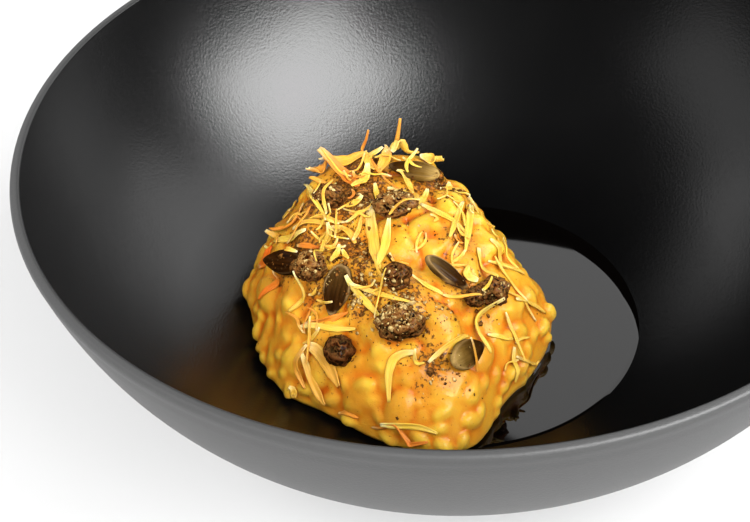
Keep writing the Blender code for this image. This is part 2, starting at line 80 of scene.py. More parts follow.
def finish_piece(name, bm, material, slot, *nodes, sharp_angle=None, **values):
    """The values are a number or a vector for each vertex, which the material reads."""
    bmesh.ops.scale(bm, vec=(MM, MM, MM), verts=bm.verts)
    mesh = mesh_from(bm, name)
    mesh.materials.append(material)
    mesh.shade_smooth()
    if sharp_angle:
        mesh.set_sharp_from_angle(angle=radians(sharp_angle))
    for key, value in values.items():
        value = np.asarray(value, np.float32)
        kind, field = ("FLOAT_VECTOR", "vector") if value.ndim > 1 else ("FLOAT", "value")
        mesh.attributes.new(key, kind, "POINT").data.foreach_set(field, value.ravel())
    piece = put_in_scene(name, mesh)
    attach(piece, "root")
    if nodes:
        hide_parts(*nodes)
    return piece


# %% [markdown]
# ## Describing a finish
#
# A finish is a Principled shader with a few procedural nodes in front of it. Pictures
# could be wrapped round the pieces instead, but noise on Object coordinates needs no
# unwrapping and has the same scale on every piece. These helpers add one node each and
# fill its sockets, either with a plain value or with a link.

# %% Helpers for materials
def new_finish(name, roughness, **sockets):
    material = bpy.data.materials.new(name)
    material.use_nodes = True
    tree = material.node_tree
    shader = tree.nodes["Principled BSDF"]
    shader.inputs["Roughness"].default_value = roughness
    for key, value in sockets.items():
        shader.inputs[key.replace("_", " ")].default_value = value
    return material, tree


def connect(tree, socket, value):
    tree.links.new(value, tree.nodes["Principled BSDF"].inputs[socket])


def is_link(value):
    return isinstance(value, bpy.types.NodeSocket)


def add_node(tree, kind, sources, output=0, **settings):
    made = tree.nodes.new(kind)
    for key, value in settings.items():
        setattr(made, key, value)
    for key, value in sources.items():
        if is_link(value):
            tree.links.new(value, made.inputs[key])
        else:
            made.inputs[key].default_value = value
    return made.outputs[output]


def add_ramp(tree, source, stops):
    ramp = add_node(tree, "ShaderNodeValToRGB", {"Fac": source})
    elements = ramp.node.color_ramp.elements
    while len(elements) < len(stops):
        elements.new(0.5)
    for element, (place, colour) in zip(elements, stops):
        element.position = place
        element.color = (*colour, 1.0)
    return ramp


def add_mask(tree, source, start, full, most=1.0):
    """Nothing up to one value of the source, rising to `most` at another."""
    return add_ramp(tree, source, ((start, (0, 0, 0)), (full, (most,) * 3)))


def add_mix(tree, share, first, second, blend="MIX"):
    first, second = (c if is_link(c) else (*c, 1.0) for c in (first, second))
    return add_node(tree, "ShaderNodeMix", {0: share, 6: first, 7: second}, 2,
                    data_type="RGBA", blend_type=blend)


def add_math(tree, operation, *values):
    return add_node(tree, "ShaderNodeMath", dict(enumerate(values)), operation=operation)


def object_place(tree):
    return add_node(tree, "ShaderNodeTexCoord", {}, "Object")


def object_height(tree):
    return add_node(tree, "ShaderNodeSeparateXYZ", {"Vector": object_place(tree)}, "Z")


def add_noise(tree, scale, detail=3.0, roughness=0.5, place=None):
    """Noise on Object coordinates: a scale of 1000 gives a pattern about 1 mm across."""
    return add_node(tree, "ShaderNodeTexNoise", {
        "Vector": place or object_place(tree), "Scale": scale, "Detail": detail,
        "Roughness": roughness})


def read(tree, name, output="Fac"):
    return add_node(tree, "ShaderNodeAttribute", {}, output, attribute_name=name)


def add_bump(tree, height, distance, strength, under=None):
    sources = {"Height": height, "Distance": distance, "Strength": strength}
    if under:
        sources["Normal"] = under
    normal = add_node(tree, "ShaderNodeBump", sources)
    connect(tree, "Normal", normal)
    return normal


# %% [markdown]
# ## The bowl's section
#
# The bowl is thrown stoneware: a flat floor that turns up in one long curve to a thin
# lip. Its inner wall is one Bezier curve, the CAD model's, and its outer wall is that
# curve moved out by the thickness, so a few numbers tell both. The lip is level on top
# and 3 mm wide with soft edges, and a shallow groove under it draws a dark line all
# round.

# %% Bowl sizes and section
INSIDE_CURVE = ((0.0, 9.2), (62.0, 9.2), (98.0, 39.5), (112.2, 82.9))   # radius, height
FLOOR_THICKNESS, RIM_THICKNESS = 5.5, 3.0
WALL_BULGE = 1.1                                  # more thickness halfway up the wall
FOOT_OUTER_RADIUS, FOOT_INNER_RADIUS = 43.0, 38.0
FOOT_ROUNDING, FOOT_JOIN = 0.8, 1.2
GROOVE_DEPTH, GROOVE_BELOW_LIP, GROOVE_WIDTH = 0.35, 2.3, 0.8
LIP = ((112.2, 82.9), (112.3, 83.35), (112.5, 83.65), (112.8, 83.76), (113.3, 83.79),
       (114.15, 83.72), (114.6, 83.45), (114.88, 83.0), (115.0, 82.45), (115.03, 81.95))
WALL_POINTS = 44
BOWL_STEPS = 192


def inside_point(t):
    s = 1.0 - t
    weights = (s * s * s, 3 * s * s * t, 3 * s * t * t, t * t * t)
    return Vector((sum(w * p[0] for w, p in zip(weights, INSIDE_CURVE)),
                   sum(w * p[1] for w, p in zip(weights, INSIDE_CURVE))))


def inside_normal(t):
    step = 0.001
    along = inside_point(min(t + step, 1.0)) - inside_point(max(t - step, 0.0))
    return Vector((along.y, -along.x)).normalized()


def outside_point(t, inset=0.0):
    thickness = FLOOR_THICKNESS + (RIM_THICKNESS - FLOOR_THICKNESS) * t
    thickness += WALL_BULGE * 4.0 * t * (1.0 - t)
    return inside_point(t) + inside_normal(t) * (thickness - inset)


def search(is_short, high, rounds):
    """Halve a range from 0 until the place where `is_short` ends is found."""
    low = 0.0
    for _ in range(rounds):
        middle = (low + high) / 2
        low, high = (middle, high) if is_short(middle) else (low, middle)
    return low


FLOOR_TABLE = [inside_point(i / 400) for i in range(401)]
FLOOR_RADII = np.array([p.x for p in FLOOR_TABLE])
FLOOR_HEIGHTS = np.array([p.y for p in FLOOR_TABLE])


def floor_height(radius):
    return float(np.interp(radius, FLOOR_RADII, FLOOR_HEIGHTS))


def radius_at(height):
    return float(np.interp(height, FLOOR_HEIGHTS, FLOOR_RADII))


def foot_top(radius):
    return outside_point(search(lambda t: inside_point(t).x < radius, 1.0, 30)).y


def bowl_section():
    inner = [inside_point(i / WALL_POINTS) for i in range(WALL_POINTS)]
    outer = []
    for i in range(2 * WALL_POINTS, -1, -1):
        t = i / (2 * WALL_POINTS)
        below_lip = (1.0 - t) * (inside_point(1.0) - inside_point(0.97)).length / 0.03
        bend = ((below_lip - GROOVE_BELOW_LIP) / GROOVE_WIDTH) ** 2
        outer.append(outside_point(t, GROOVE_DEPTH * exp(-bend)))
    wall = [p for p in outer[1:] if p.x > FOOT_OUTER_RADIUS + FOOT_JOIN]
    under = [p for p in outer if p.x < FOOT_INNER_RADIUS - FOOT_JOIN]
    half = []       # the foot's outer side, and then its inner side
    for radius, out in ((FOOT_OUTER_RADIUS, 1), (FOOT_INNER_RADIUS, -1)):
        top = foot_top(radius)
        half.append([Vector(p) for p in (
            (radius + out * 0.3, top - 0.1), (radius, top - 0.6), (radius, FOOT_ROUNDING),
            (radius - out * FOOT_ROUNDING * 0.3, FOOT_ROUNDING * 0.3),
            (radius - out * FOOT_ROUNDING, 0.0))])
    return inner + [Vector(p) for p in LIP] + wall + half[0] + half[1][::-1] + under


# %% [markdown]
# ## The black glaze
#
# The glaze is almost black and half matt, with a fine pebbled skin. Base colour alone
# would look like velvet, so most of what is seen is the rough reflection of the lights,
# and bumps less than a millimetre across give the sparkle of the real surface. The
# outside is greyer and rougher, and spoons have dulled the floor. One stored value tells
# the outside from the inside, so one finish covers the whole bowl.

# %% Glaze material
GLAZE_BLACK = (0.0006, 0.0006, 0.0007)
GLAZE_WORN = (0.0018, 0.0018, 0.0018)
OUTER_GREY = (0.036, 0.036, 0.036)
GLAZE_ROUGHNESS = (0.27, 0.45)          # inside, outside
OUTER_GLOSS = 0.45
FLOOR_GLOSS, WALL_GLOSS = 0.10, 0.5
DULL_BELOW, BRIGHT_ABOVE = 18.0, 32.0   # heights between which the inner gloss changes


def add_range(tree, source, low, high, start=0.0, end=1.0):
    """From `low` to `high` while the source goes from `start` to `end`."""
    return add_node(tree, "ShaderNodeMapRange", {
        "Value": source, "From Min": start, "From Max": end, "To Min": low, "To Max": high})


def make_glaze():
    material, tree = new_finish("black_glaze", 0.33)
    outside = read(tree, "outside")
    colour = add_mix(tree, add_noise(tree, 45), GLAZE_BLACK, GLAZE_WORN)
    connect(tree, "Base Color", add_mix(tree, outside, colour, OUTER_GREY))
    connect(tree, "Roughness", add_range(tree, outside, *GLAZE_ROUGHNESS))
    gloss = add_range(tree, object_height(tree), FLOOR_GLOSS, WALL_GLOSS,
                      DULL_BELOW * MM, BRIGHT_ABOVE * MM)
    connect(tree, "Specular IOR Level", add_range(tree, outside, gloss, OUTER_GLOSS))
    pebbles = add_bump(tree, add_noise(tree, 1450, 2, 0.55), 0.00010, 0.65)
    add_bump(tree, add_noise(tree, 2600, 1), 0.00003, 0.35, under=pebbles)
    return material


# %% [markdown]
# ## Turning the bowl
#
# The section is a chain of edges, and `spin` turns it round the Z axis as the potter's
# wheel does. A full spin with `use_merge` closes the seam, and merging doubles closes
# both poles. A Screw modifier would turn it too, but the vertices are needed at once, to
# store which of them are outside.

# %% Turn a section
def face_outwards(bm):
    bmesh.ops.recalc_face_normals(bm, faces=bm.faces)
    if bm.calc_volume(signed=True) < 0:
        bmesh.ops.reverse_faces(bm, faces=bm.faces)


def turn(section):
    bm = bmesh.new()
    row = [bm.verts.new((p.x if p.x > 0.01 else 0.0, 0.0, p.y)) for p in section]
    edges = [bm.edges.new(pair) for pair in zip(row, row[1:])]
    bmesh.ops.spin(bm, geom=row + edges, cent=(0, 0, 0), axis=(0, 0, 1), angle=TURN,
                   steps=BOWL_STEPS, use_merge=True)
    bmesh.ops.remove_doubles(bm, verts=bm.verts, dist=0.001)
    face_outwards(bm)
    return bm


def outside_share(p):
    """0 on the inner wall, 1 on the lip and the outer wall."""
    past_wall = (hypot(p.x, p.y) - radius_at(p.z) - 0.2) / 0.9
    return min(1.0, max(0.0, past_wall)) if p.z > 9.0 else 1.0


section = bowl_section()
bowl_bm = turn(section)
bowl = finish_piece("black_bowl", bowl_bm, make_glaze(), "black_glaze", "bowl",
                    outside=[outside_share(v.co) for v in bowl_bm.verts])
print("bowl:", len(section), "points in the section,", len(bowl.data.polygons), "faces")

# %% [markdown]
# ## The heap's plan and height
#
# A spooned heap has no formula, but its edge can be told by how far it reaches from its
# peak in each direction, and its height by one curve that stays level on top and drops
# steeply at the edge. It could be sculpted by hand, but these are the CAD model's own
# numbers, so the food stays where its solid is.

# %% Heap sizes
SAUCE_LEVEL = 17.3
PEAK = Vector((-19.0, 16.0))
PEAK_HEIGHT = 41.0
EDGE_RADII = (33.5, 30.8, 28, 27.5, 27, 26, 26, 27, 29, 32, 34.5, 35.2,
              39, 42.5, 45.8, 50, 57.8, 58.8, 67.5, 72.8, 59.8, 55, 50.5, 40)
FLANK_POWER, SHOULDER_POWER = 3.0, 1.2
EDGE_THICKNESS = 2.0
CORE_INSET = 1.2


def edge_radius(angle, inset=CORE_INSET):
    count = len(EDGE_RADII)
    place = (angle % TURN) / TURN * count
    i, f = int(place) % count, place - int(place)
    a, b, c, d = (EDGE_RADII[(i + k) % count] for k in (-1, 0, 1, 2))
    return 0.5 * (2 * b + (c - a) * f + (2 * a - 5 * b + 4 * c - d) * f * f
                  + (3 * b - a - 3 * c + d) * f ** 3) - inset


def from_peak(angle, share):
    """A point of the plan that is a share of the way from the peak to the edge."""
    reach = edge_radius(angle) * share
    return PEAK.x + reach * cos(angle), PEAK.y + reach * sin(angle)


def share_at(x, y, inset=CORE_INSET):
    away = Vector((x, y)) - PEAK
    return away.length / edge_radius(atan2(away.y, away.x), inset)


def heap_point(x, y):
    rise = max(0.0, 1.0 - share_at(x, y) ** FLANK_POWER) ** (1.0 / SHOULDER_POWER)
    foot = max(SAUCE_LEVEL, floor_height(hypot(x, y))) + EDGE_THICKNESS
    top = SAUCE_LEVEL + PEAK_HEIGHT - CORE_INSET
    return Vector((x, y, foot + (top - foot) * rise))


def heap_normal(x, y, reach=1.5):
    across = heap_point(x + reach, y) - heap_point(x - reach, y)
    along = heap_point(x, y + reach) - heap_point(x, y - reach)
    return across.cross(along).normalized()


# %% [markdown]
# ## The cream under the grains
#
# The heap starts as a UV sphere, which is closed already: its upper half is laid over the
# heap's curve and its lower half over the bowl's floor. Slow noise then swells it along
# its normals, because risotto settles in soft folds before single grains show.

# %% Shape the cream
CREAM_RISE = -0.15                          # cream over the CAD core
FOLD_DEPTH, FOLD_SIZE = 2.4, 12.0
LUMP_DEPTH, LUMP_SIZE = 2.2, 6.0
CREASE_DEPTH, CREASE_SIZE, CREASE_WIDTH = 1.7, 10.5, 0.13
FOOT_STARTS, FOOT_BLEND = 0.75, 0.2         # shares of the way out to the edge
FOOT_RISE, SPREAD_RISE = 0.4, 3.4
SPREAD_ANGLE = radians(-50)            # the heap has spread most towards here
CREAM_SEGMENTS, CREAM_RINGS = 220, 150


def cream_swell(p):
    fold = noise.noise(p / FOLD_SIZE + Vector((3.1, 0.0, 7.7)))
    lump = noise.noise(p / LUMP_SIZE + Vector((0.0, 5.2, 1.3)))
    line = abs(noise.noise(p / CREASE_SIZE + Vector((8.8, 2.4, 0.0))))
    crease = max(0.0, 1.0 - line / CREASE_WIDTH)
    swell = CREAM_RISE + FOLD_DEPTH * fold + LUMP_DEPTH * lump - CREASE_DEPTH * crease
    near_edge = min(1.0, max(0.0, (share_at(p.x, p.y) - FOOT_STARTS) / FOOT_BLEND))
    angle = atan2(p.y - PEAK.y, p.x - PEAK.x)
    rise = FOOT_RISE * (1.0 + SPREAD_RISE * max(0.0, cos(angle - SPREAD_ANGLE)))
    return swell + near_edge * (max(swell, 0.0) + rise - swell)


def shape_cream():
    bm = bmesh.new()
    bmesh.ops.create_uvsphere(bm, u_segments=CREAM_SEGMENTS, v_segments=CREAM_RINGS, radius=1.0)
    for v in bm.verts:
        polar = acos(max(-1.0, min(1.0, v.co.z))) / (pi / 2)
        x, y = from_peak(atan2(v.co.y, v.co.x), 1.0 - abs(1.0 - polar) ** 1.5)
        if polar > 1.0001:
            v.co = Vector((x, y, floor_height(hypot(x, y)) + 0.1))
        else:
            v.co = heap_point(x, y)
    bm.normal_update()
    moves = [(v, v.normal * cream_swell(v.co)) for v in bm.verts if v.normal.z > -0.3]
    for v, move in moves:
        v.co += move
    return bm


# %% [markdown]
# ## Laying things on the heap
#
# Grains, seeds, petals and crumbs lie along the surface: one axis points straight out of
# the heap, one along the piece and one across it. A physics run could drop the toppings,
# but the photograph shows where they lie. A shape that repeats is modelled once and
# stamped into the heap or the scatter with its own place and size.

# %% Axes and stamps
RAY_LENGTH = 25.0


def frame_on(out, heading):
    facing = Vector((cos(heading), sin(heading), 0.0))
    length = (facing - out * facing.dot(out)).normalized()
    return length, out.cross(length), out


def matrix_from(length, width, out, place):
    turned = Matrix((length, width, out)).transposed().to_4x4()
    turned.translation = place
    return turned


def ground(trees, x, y, height):
    """What a line square to the heap's curve, from a height over it, meets first.

    Returns the spot, its normal and the distance from there, and the curve's own normal."""
    base, out = heap_point(x, y), heap_normal(x, y)
    hits = [tree.ray_cast(base + out * height, -out, RAY_LENGTH) for tree in trees]
    hits = [h for h in hits if h[0]] or [(None, None, None, height)]
    spot, normal, _, distance = min(hits, key=lambda h: h[3])
    return spot, normal, distance, base, out


def stamp(bm, template, place, size):
    copy = template.copy()
    copy.transform(place @ Matrix.Diagonal((*size, 1.0)))
    bm.from_mesh(copy)
    bpy.data.meshes.remove(copy)


# %% [markdown]
# ## The grains
#
# Each grain is a small ellipsoid. On top of the heap the cream nearly covers the grains,
# and towards the foot they stand out as round bumps, so the further down a grain lies,
# the less it is pushed in. Larger clumps are spoonfuls that slid down the flanks or
# stopped at the foot. A particle system could scatter the grains, but seeded draws give
# the same heap on every run and let the grains keep clear of each other and of the
# toppings.

# %% Place the grains
GRAIN_COUNT = 300
GRAIN_SIZE = ((6.8, 4.2, 3.6), (4.6, 3.4, 3.0))
GRAIN_SPACING = 3.9
GRAIN_TRIES = 12            # draws for each grain, as many land on one already placed
GRAIN_SPREAD = 0.42         # 0.5 would spread them evenly over the plan
GRAIN_RAY = 9.0
CLUMP_SIZE = (12.0, 8.0, 5.6)
FOOT_CLUMPS, FLANK_CLUMPS = 30, 52
# shares of the way to the edge, largest scale, and how much of the height is sunk in
FOOT_PLACE, FLANK_PLACE = (0.87, 1.0, 1.25, 0.10), (0.45, 0.85, 1.1, 0.26)


def on_cream(tree, x, y):
    spot, _, _, base, out = ground([tree], x, y, GRAIN_RAY)
    return spot or base, out


def add_clumps(bm, tree, grain):
    draw = random.Random(8)
    for number in range(FOOT_CLUMPS + FLANK_CLUMPS):
        nearest, furthest, largest, sunk = FOOT_PLACE if number < FOOT_CLUMPS else FLANK_PLACE
        angle = TURN * (number + draw.uniform(-0.3, 0.3)) / FOOT_CLUMPS
        spot, out = on_cream(tree, *from_peak(angle, draw.uniform(nearest, furthest)))
        axes = frame_on(out, draw.uniform(0, pi))
        size = Vector(CLUMP_SIZE) * draw.uniform(0.55, largest)
        stamp(bm, grain, matrix_from(*axes, spot - out * size.z * sunk), size)


def add_grains(bm, keep_clear):
    tree = BVHTree.FromBMesh(bm)
    grain_bm = bmesh.new()
    bmesh.ops.create_uvsphere(grain_bm, u_segments=12, v_segments=8, radius=0.5)
    grain = mesh_from(grain_bm, "template")
    add_clumps(bm, tree, grain)
    draw = random.Random(5)
    big, small = (Vector(size) for size in GRAIN_SIZE)
    placed = []
    for _ in range(GRAIN_COUNT * GRAIN_TRIES):
        if len(placed) == GRAIN_COUNT:
            break
        angle, share = draw.uniform(0, TURN), draw.random() ** GRAIN_SPREAD
        heading = draw.uniform(0, pi)
        spot, out = on_cream(tree, *from_peak(angle, min(share, 0.995)))
        taken = [(other, GRAIN_SPACING) for other in placed] + keep_clear
        if any((spot - centre).length < radius for centre, radius in taken):
            continue
        size = big.lerp(small, draw.random())
        pressed = 1.3 - 1.3 * share ** 12 + draw.uniform(-0.35, 0.3)
        length = frame_on(out, heading)[0]
        length = (length + out * draw.uniform(-0.25, 0.25)).normalized()
        width = out.cross(length).normalized()
        place = matrix_from(length, width, length.cross(width), spot - out * pressed)
        stamp(bm, grain, place, size)
        placed.append(spot)
    return placed


# %% [markdown]
# ## Melting grains and cream together
#
# A union of the ellipsoids would leave sharp creases. Voxel remeshing makes one skin
# round everything, and a few rounds of smoothing melt the creases as the starch does. How
# far the skin stands above its own average is measured, which later paints shade into the
# hollows as a darker, deeper orange.

# %% Melt, smooth and measure the relief
VOXEL = 0.55
SMOOTHING = 5


def smooth(bm, factor):
    bmesh.ops.smooth_vert(bm, verts=bm.verts, factor=factor,
                          use_axis_x=True, use_axis_y=True, use_axis_z=True)


def melted(bm):
    """One smooth skin round everything, as a new bmesh."""
    carrier = put_in_scene("melt", mesh_from(bm, "melt"))
    remesh = carrier.modifiers.new("melt", "REMESH")
    remesh.mode, remesh.voxel_size = "VOXEL", VOXEL
    evaluated = carrier.evaluated_get(bpy.context.evaluated_depsgraph_get())
    skin = bmesh.new()
    skin.from_mesh(evaluated.to_mesh())
    evaluated.to_mesh_clear()
    bpy.data.meshes.remove(carrier.data)
    for _ in range(SMOOTHING):
        smooth(skin, 0.5)
    return skin


def relief_of(bm, rounds=22):
    """How far each vertex stands above (+) or below (-) the average around it, in mm."""
    bm.verts.index_update()
    bm.normal_update()
    places = np.array([v.co for v in bm.verts])
    normals = np.array([v.normal for v in bm.verts])
    edges = np.array([[v.index for v in e.verts] for e in bm.edges])
    count = np.bincount(edges.ravel(), minlength=len(places)).astype(float)
    count[count == 0] = 1.0
    average = places
    for _ in range(rounds):
        total = np.zeros_like(average)
        np.add.at(total, edges[:, 0], average[edges[:, 1]])
        np.add.at(total, edges[:, 1], average[edges[:, 0]])
        average = 0.5 * average + 0.5 * total / count[:, None]
    return ((places - average) * normals).sum(axis=1)


# %% [markdown]
# ## The whole heap
#
# The CAD nodes say where each berry and seed sits, so the spots that the grains keep
# clear of are read from them. Then the heap is made in one go: the cream, the grains on
# it, the skin round both, and its relief.

# %% Keep the toppings' spots clear and melt the heap
BERRY_COUNT, SEED_COUNT = 9, 5
CLEAR_SHARE = 0.36          # of a topping's diagonal


def node_box(node):
    """Middle and size of a CAD node, in millimetres."""
    low, high = (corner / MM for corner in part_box(node))
    return (low + high) / 2, high - low


toppings = ["fried_berry_%d" % n for n in range(1, BERRY_COUNT + 1)]
toppings += ["pumpkin_seed_%d" % n for n in range(1, SEED_COUNT + 1)]
clear_spots = [(middle, size.length * CLEAR_SHARE) for middle, size in map(node_box, toppings)]

heap_bm = shape_cream()
grains = add_grains(heap_bm, clear_spots)
heap_bm = melted(heap_bm)
heap_relief = relief_of(heap_bm)
heap_tree = BVHTree.FromBMesh(heap_bm)
print("heap:", len(grains), "grains,", len(heap_bm.faces), "faces, relief",
      round(float(heap_relief.min()), 2), "to", round(float(heap_relief.max()), 2), "mm")

# %% [markdown]
# ## Stains
#
# Pepper and fried crumbs colour the cream round the toppings. A painted picture would
# need an unwrapped heap, so how near each vertex is to the stains is worked out and
# stored with it.

# %% Measure the stains
# centre x, y, radius, strength
STAINS = (
    (-28, 3, 6, 1.0), (-31, 6, 5, 0.9), (-24, 4, 4, 0.8), (-30, -9, 4, 0.9), (-2, 17, 5, 1.0),
    (-10, 13, 5, 0.5), (-22, 8, 5, 0.6), (-39, 10, 5, 0.6), (-26, -17, 6, 0.7), (-44, -7, 6, 1.0),
    (-37, -20, 5, 0.8), (-26, -26, 4, 0.8), (-14, -28, 7, 0.7), (-3, -29, 5, 0.3),
    (-2, -8, 4, 0.5), (2, -4, 4, 0.5), (0, -20, 4, 0.7), (-8, -40, 4, 0.5), (-3, -42, 4, 0.4),
    (6, -22, 4, 0.5), (-36, -33, 4, 0.5), (-30, -36, 4, 0.4), (-10, -46, 5, 0.3),
    (-28, 18, 7, 0.8), (-34, 12, 9, 0.5), (-42, 2, 9, 0.5), (-20, 20, 9, 0.5), (-8, 12, 8, 0.35),
    (-22, -10, 9, 0.25), (-14, -34, 10, 0.2), (0, -10, 8, 0.2),
)
STAINS_ABOVE = 25.0


def stain_at(p):
    if p.z <= STAINS_ABOVE:
        return 0.0
    total = 0.0
    for x, y, radius, strength in STAINS:
        total += strength * exp(-((p.x - x) ** 2 + (p.y - y) ** 2) / (radius * radius))
    return min(1.0, total)


# %% [markdown]
# ## Risotto finish
#
# Cooked starch lets light in a few millimetres, so the finish uses subsurface scattering,
# with the red light travelling furthest, under a thin wet gloss. Orange paint alone would
# look like plastic. From the stored relief, bumps are painted a paler yellow as if lit and
# hollows a darker, deeper orange as painted shade, and the stored stains turn it brown.

# %% Risotto material
# Painted shade: from the hollows up, a darker, deeper orange turns to a paler yellow.
CREAM_TONES_SHADED_HOLLOWS = ((0.0, (0.31, 0.042, 0.0025)), (0.26, (0.42, 0.115, 0.006)),
               (0.48, (0.47, 0.222, 0.016)), (0.80, (0.48, 0.292, 0.028)))   # up from hollows
DEEP_ORANGE, SOAKED_BROWN = (0.37, 0.095, 0.006), (0.26, 0.085, 0.008)
PEPPER_DOTS = (0.060, 0.022, 0.006)


def make_risotto_finish():
    material, tree = new_finish(
        "carrot_cream", 0.30, Subsurface_Weight=0.35, Subsurface_Scale=0.0016,
        Subsurface_Radius=(1.0, 0.42, 0.10), IOR=1.36, Specular_IOR_Level=0.10,
        Coat_Weight=0.17, Coat_Roughness=0.09)
    relief, stain = read(tree, "relief"), read(tree, "stain")
    # The relief ramp paints shade into the hollows and a paler, lit yellow onto the bumps.
    colour = add_ramp(tree, add_math(tree, "MULTIPLY_ADD", relief, 1.1, 0.48), CREAM_TONES_SHADED_HOLLOWS)
    patches = add_mask(tree, add_noise(tree, 95, 2), 0.40, 0.62)
    colour = add_mix(tree, patches, colour, add_mix(tree, 0.40, colour, DEEP_ORANGE))
    soaked = add_math(tree, "MULTIPLY", add_noise(tree, 260, 4, 0.65), stain)
    colour = add_mix(tree, add_mask(tree, soaked, 0.08, 0.50, 0.9), colour, SOAKED_BROWN)
    dots = add_math(tree, "MULTIPLY_ADD", stain, 0.30, add_noise(tree, 1100, 2))
    colour = add_mix(tree, add_mask(tree, dots, 0.70, 0.80, 0.9), colour, PEPPER_DOTS)
    connect(tree, "Base Color", colour)
    ripples = add_bump(tree, add_noise(tree, 520, 4, 0.6), 0.00045, 0.6)
    connect(tree, "Coat Normal", ripples)
    return material


finish_piece("risotto_heap", heap_bm, make_risotto_finish(), "carrot_cream", "risotto",
             relief=heap_relief, stain=[stain_at(v.co) for v in heap_bm.verts])

# %% [markdown]
# ## The dark sauce
#
# The sauce is dark and lies level on the bowl's floor. Its edge rounds off downwards at
# the bowl and climbs a little up the heap. A disc cut by the heap would have a raw edge
# there, so the solid starts as a ring turned from a circle, and each line of points round
# it is moved to its own place: from the wall in over the level top, up against the heap
# and back under.

# %% Pour the sauce
POOL_CLEAR = 0.05                       # between the sauce and the bowl's floor
POOL_LEVEL = 17.8                       # the flat middle
POOL_RIM = radius_at(SAUCE_LEVEL)
# towards the bowl the surface rounds off downwards: degrees from +X, how far in from the
# wall it starts to, and how deep it falls
RIM_EDGES = ((-180, 1.0, 0.10), (-60, 0.9, 0.10), (-30, 1.0, 0.12), (-8, 1.4, 0.22),
             (10, 3.6, 0.45), (30, 5.0, 0.5), (50, 6.2, 0.5), (80, 6.8, 0.5),
             (140, 4.0, 0.5), (180, 1.0, 0.10))
RIM_SHARES = (0.0, 0.08, 0.18, 0.3, 0.45, 0.6, 0.75, 0.9, 1.0, 1.05)
HEAP_RISE, HEAP_REACH = 0.45, 1.6       # and it climbs a little up the heap
HEAP_SHARES = (0.8, 0.6, 0.4, 0.2, 0.0)
UNDERCUT = 1.8                          # the sauce runs this far in under the cream
WAVE_DEPTH, WAVE_COUNT = 0.35, 9.0      # of the line along the heap
POOL_NARROWEST = 7.3
UNDERSIDE_INSETS = (12.0, 3.0)          # from the wall
RING_RADIUS, RING_THICKNESS = 60.0, 10.0
SAUCE_BROWNS = (0.0004, 0.0003, 0.0002), (0.0008, 0.0005, 0.0004)


def heap_reach(angle):
    """How far from the bowl's axis the heap's foot is, in one direction."""
    return search(lambda r: share_at(r * cos(angle), r * sin(angle), 0.6) < 1.0,
                  90.0, 24)


def sauce_section(angle):
    """Radius and height of every line of points, in one direction."""
    angles, reaches, drops = zip(*RIM_EDGES)
    reach = float(np.interp(degrees(angle), angles, reaches))
    drop = float(np.interp(degrees(angle), angles, drops))
    rim = radius_at(POOL_LEVEL - drop)
    foot = heap_reach(angle)

    def beside_heap(out):
        place = Vector((cos(angle), sin(angle), out * 0.2)) * WAVE_COUNT
        wave = WAVE_DEPTH * noise.noise(place) if out > 0 else 0.0
        return min(foot + out + wave, POOL_RIM - POOL_NARROWEST + 0.1 * out)

    points = [(rim - share * reach, POOL_LEVEL - drop * max(0.0, 1.0 - share) ** 1.6)
              for share in RIM_SHARES]
    points += [(beside_heap(out), POOL_LEVEL) for out in (2.4, 2.0, 1.8, HEAP_REACH)]
    points += [(beside_heap(share * HEAP_REACH), POOL_LEVEL + HEAP_RISE * (1.0 - share) ** 2)
               for share in HEAP_SHARES]
    points.append((beside_heap(-UNDERCUT), POOL_LEVEL + HEAP_RISE))
    inner, outer = (POOL_RIM - inset for inset in UNDERSIDE_INSETS)
    for radius in (beside_heap(-UNDERCUT), max(inner, beside_heap(-1.0)), outer):
        points.append((radius, floor_height(radius) + POOL_CLEAR))
    return points


def shape_sauce():
    lines = len(sauce_section(0.0))
    step = TURN / lines
    bm = turn([Vector((RING_RADIUS + RING_THICKNESS * cos(TURN * i / lines),
                       RING_THICKNESS * sin(TURN * i / lines)))
               for i in range(lines + 1)])
    for v in bm.verts:
        around = atan2(v.co.z, hypot(v.co.x, v.co.y) - RING_RADIUS)
        angle = atan2(v.co.y, v.co.x)
        radius, height = sauce_section(angle)[round(around / step) % lines]
        v.co = Vector((radius * cos(angle), radius * sin(angle), height))
    face_outwards(bm)
    return bm


def make_sauce_finish():
    material, tree = new_finish("dark_jus", 0.035, IOR=1.42)
    connect(tree, "Base Color", add_mix(tree, add_noise(tree, 60, 2), *SAUCE_BROWNS))
    return material


sauce = finish_piece("dark_sauce", shape_sauce(), make_sauce_finish(), "dark_jus", "sauce",
                     sharp_angle=60)
print("sauce:", len(sauce.data.polygons), "faces, radius", round(POOL_RIM, 1), "mm")

# %% [markdown]
# ## Pumpkin seeds
#
# A pumpkin seed is a flat drop with a raised rim and one pointed end. A UV sphere suits
# it, because its rings run round the flat sides as the rim does: it is flattened and
# tapered to one point, and its edge is swelled into the rim.

# %% Shape a seed
# heading of the tip, tilt, width, darkness, how pale the rim is
SEEDS = (
    (170, 0, 7.4, 0.00, 0.2),
    (-17, 0, 5.2, 0.75, 0.9),
    (-110, 0, 7.6, 0.85, 0.8),
    (28, 0, 7.6, 0.25, 0.5),
    (165, 18, 7.0, 1.00, 0.1),
)
SEED_LENGTH, SEED_THICKNESS = 14.4, 3.0
SEED_TAPER = (0.28, 0.24)       # narrower towards the tip, and towards both ends
RIM_PLACE, RIM_WIDTH, RIM_HEIGHT = 0.93, 0.05, 0.20
STREAK_STRETCH = (0.8, 3.2, 0.9)


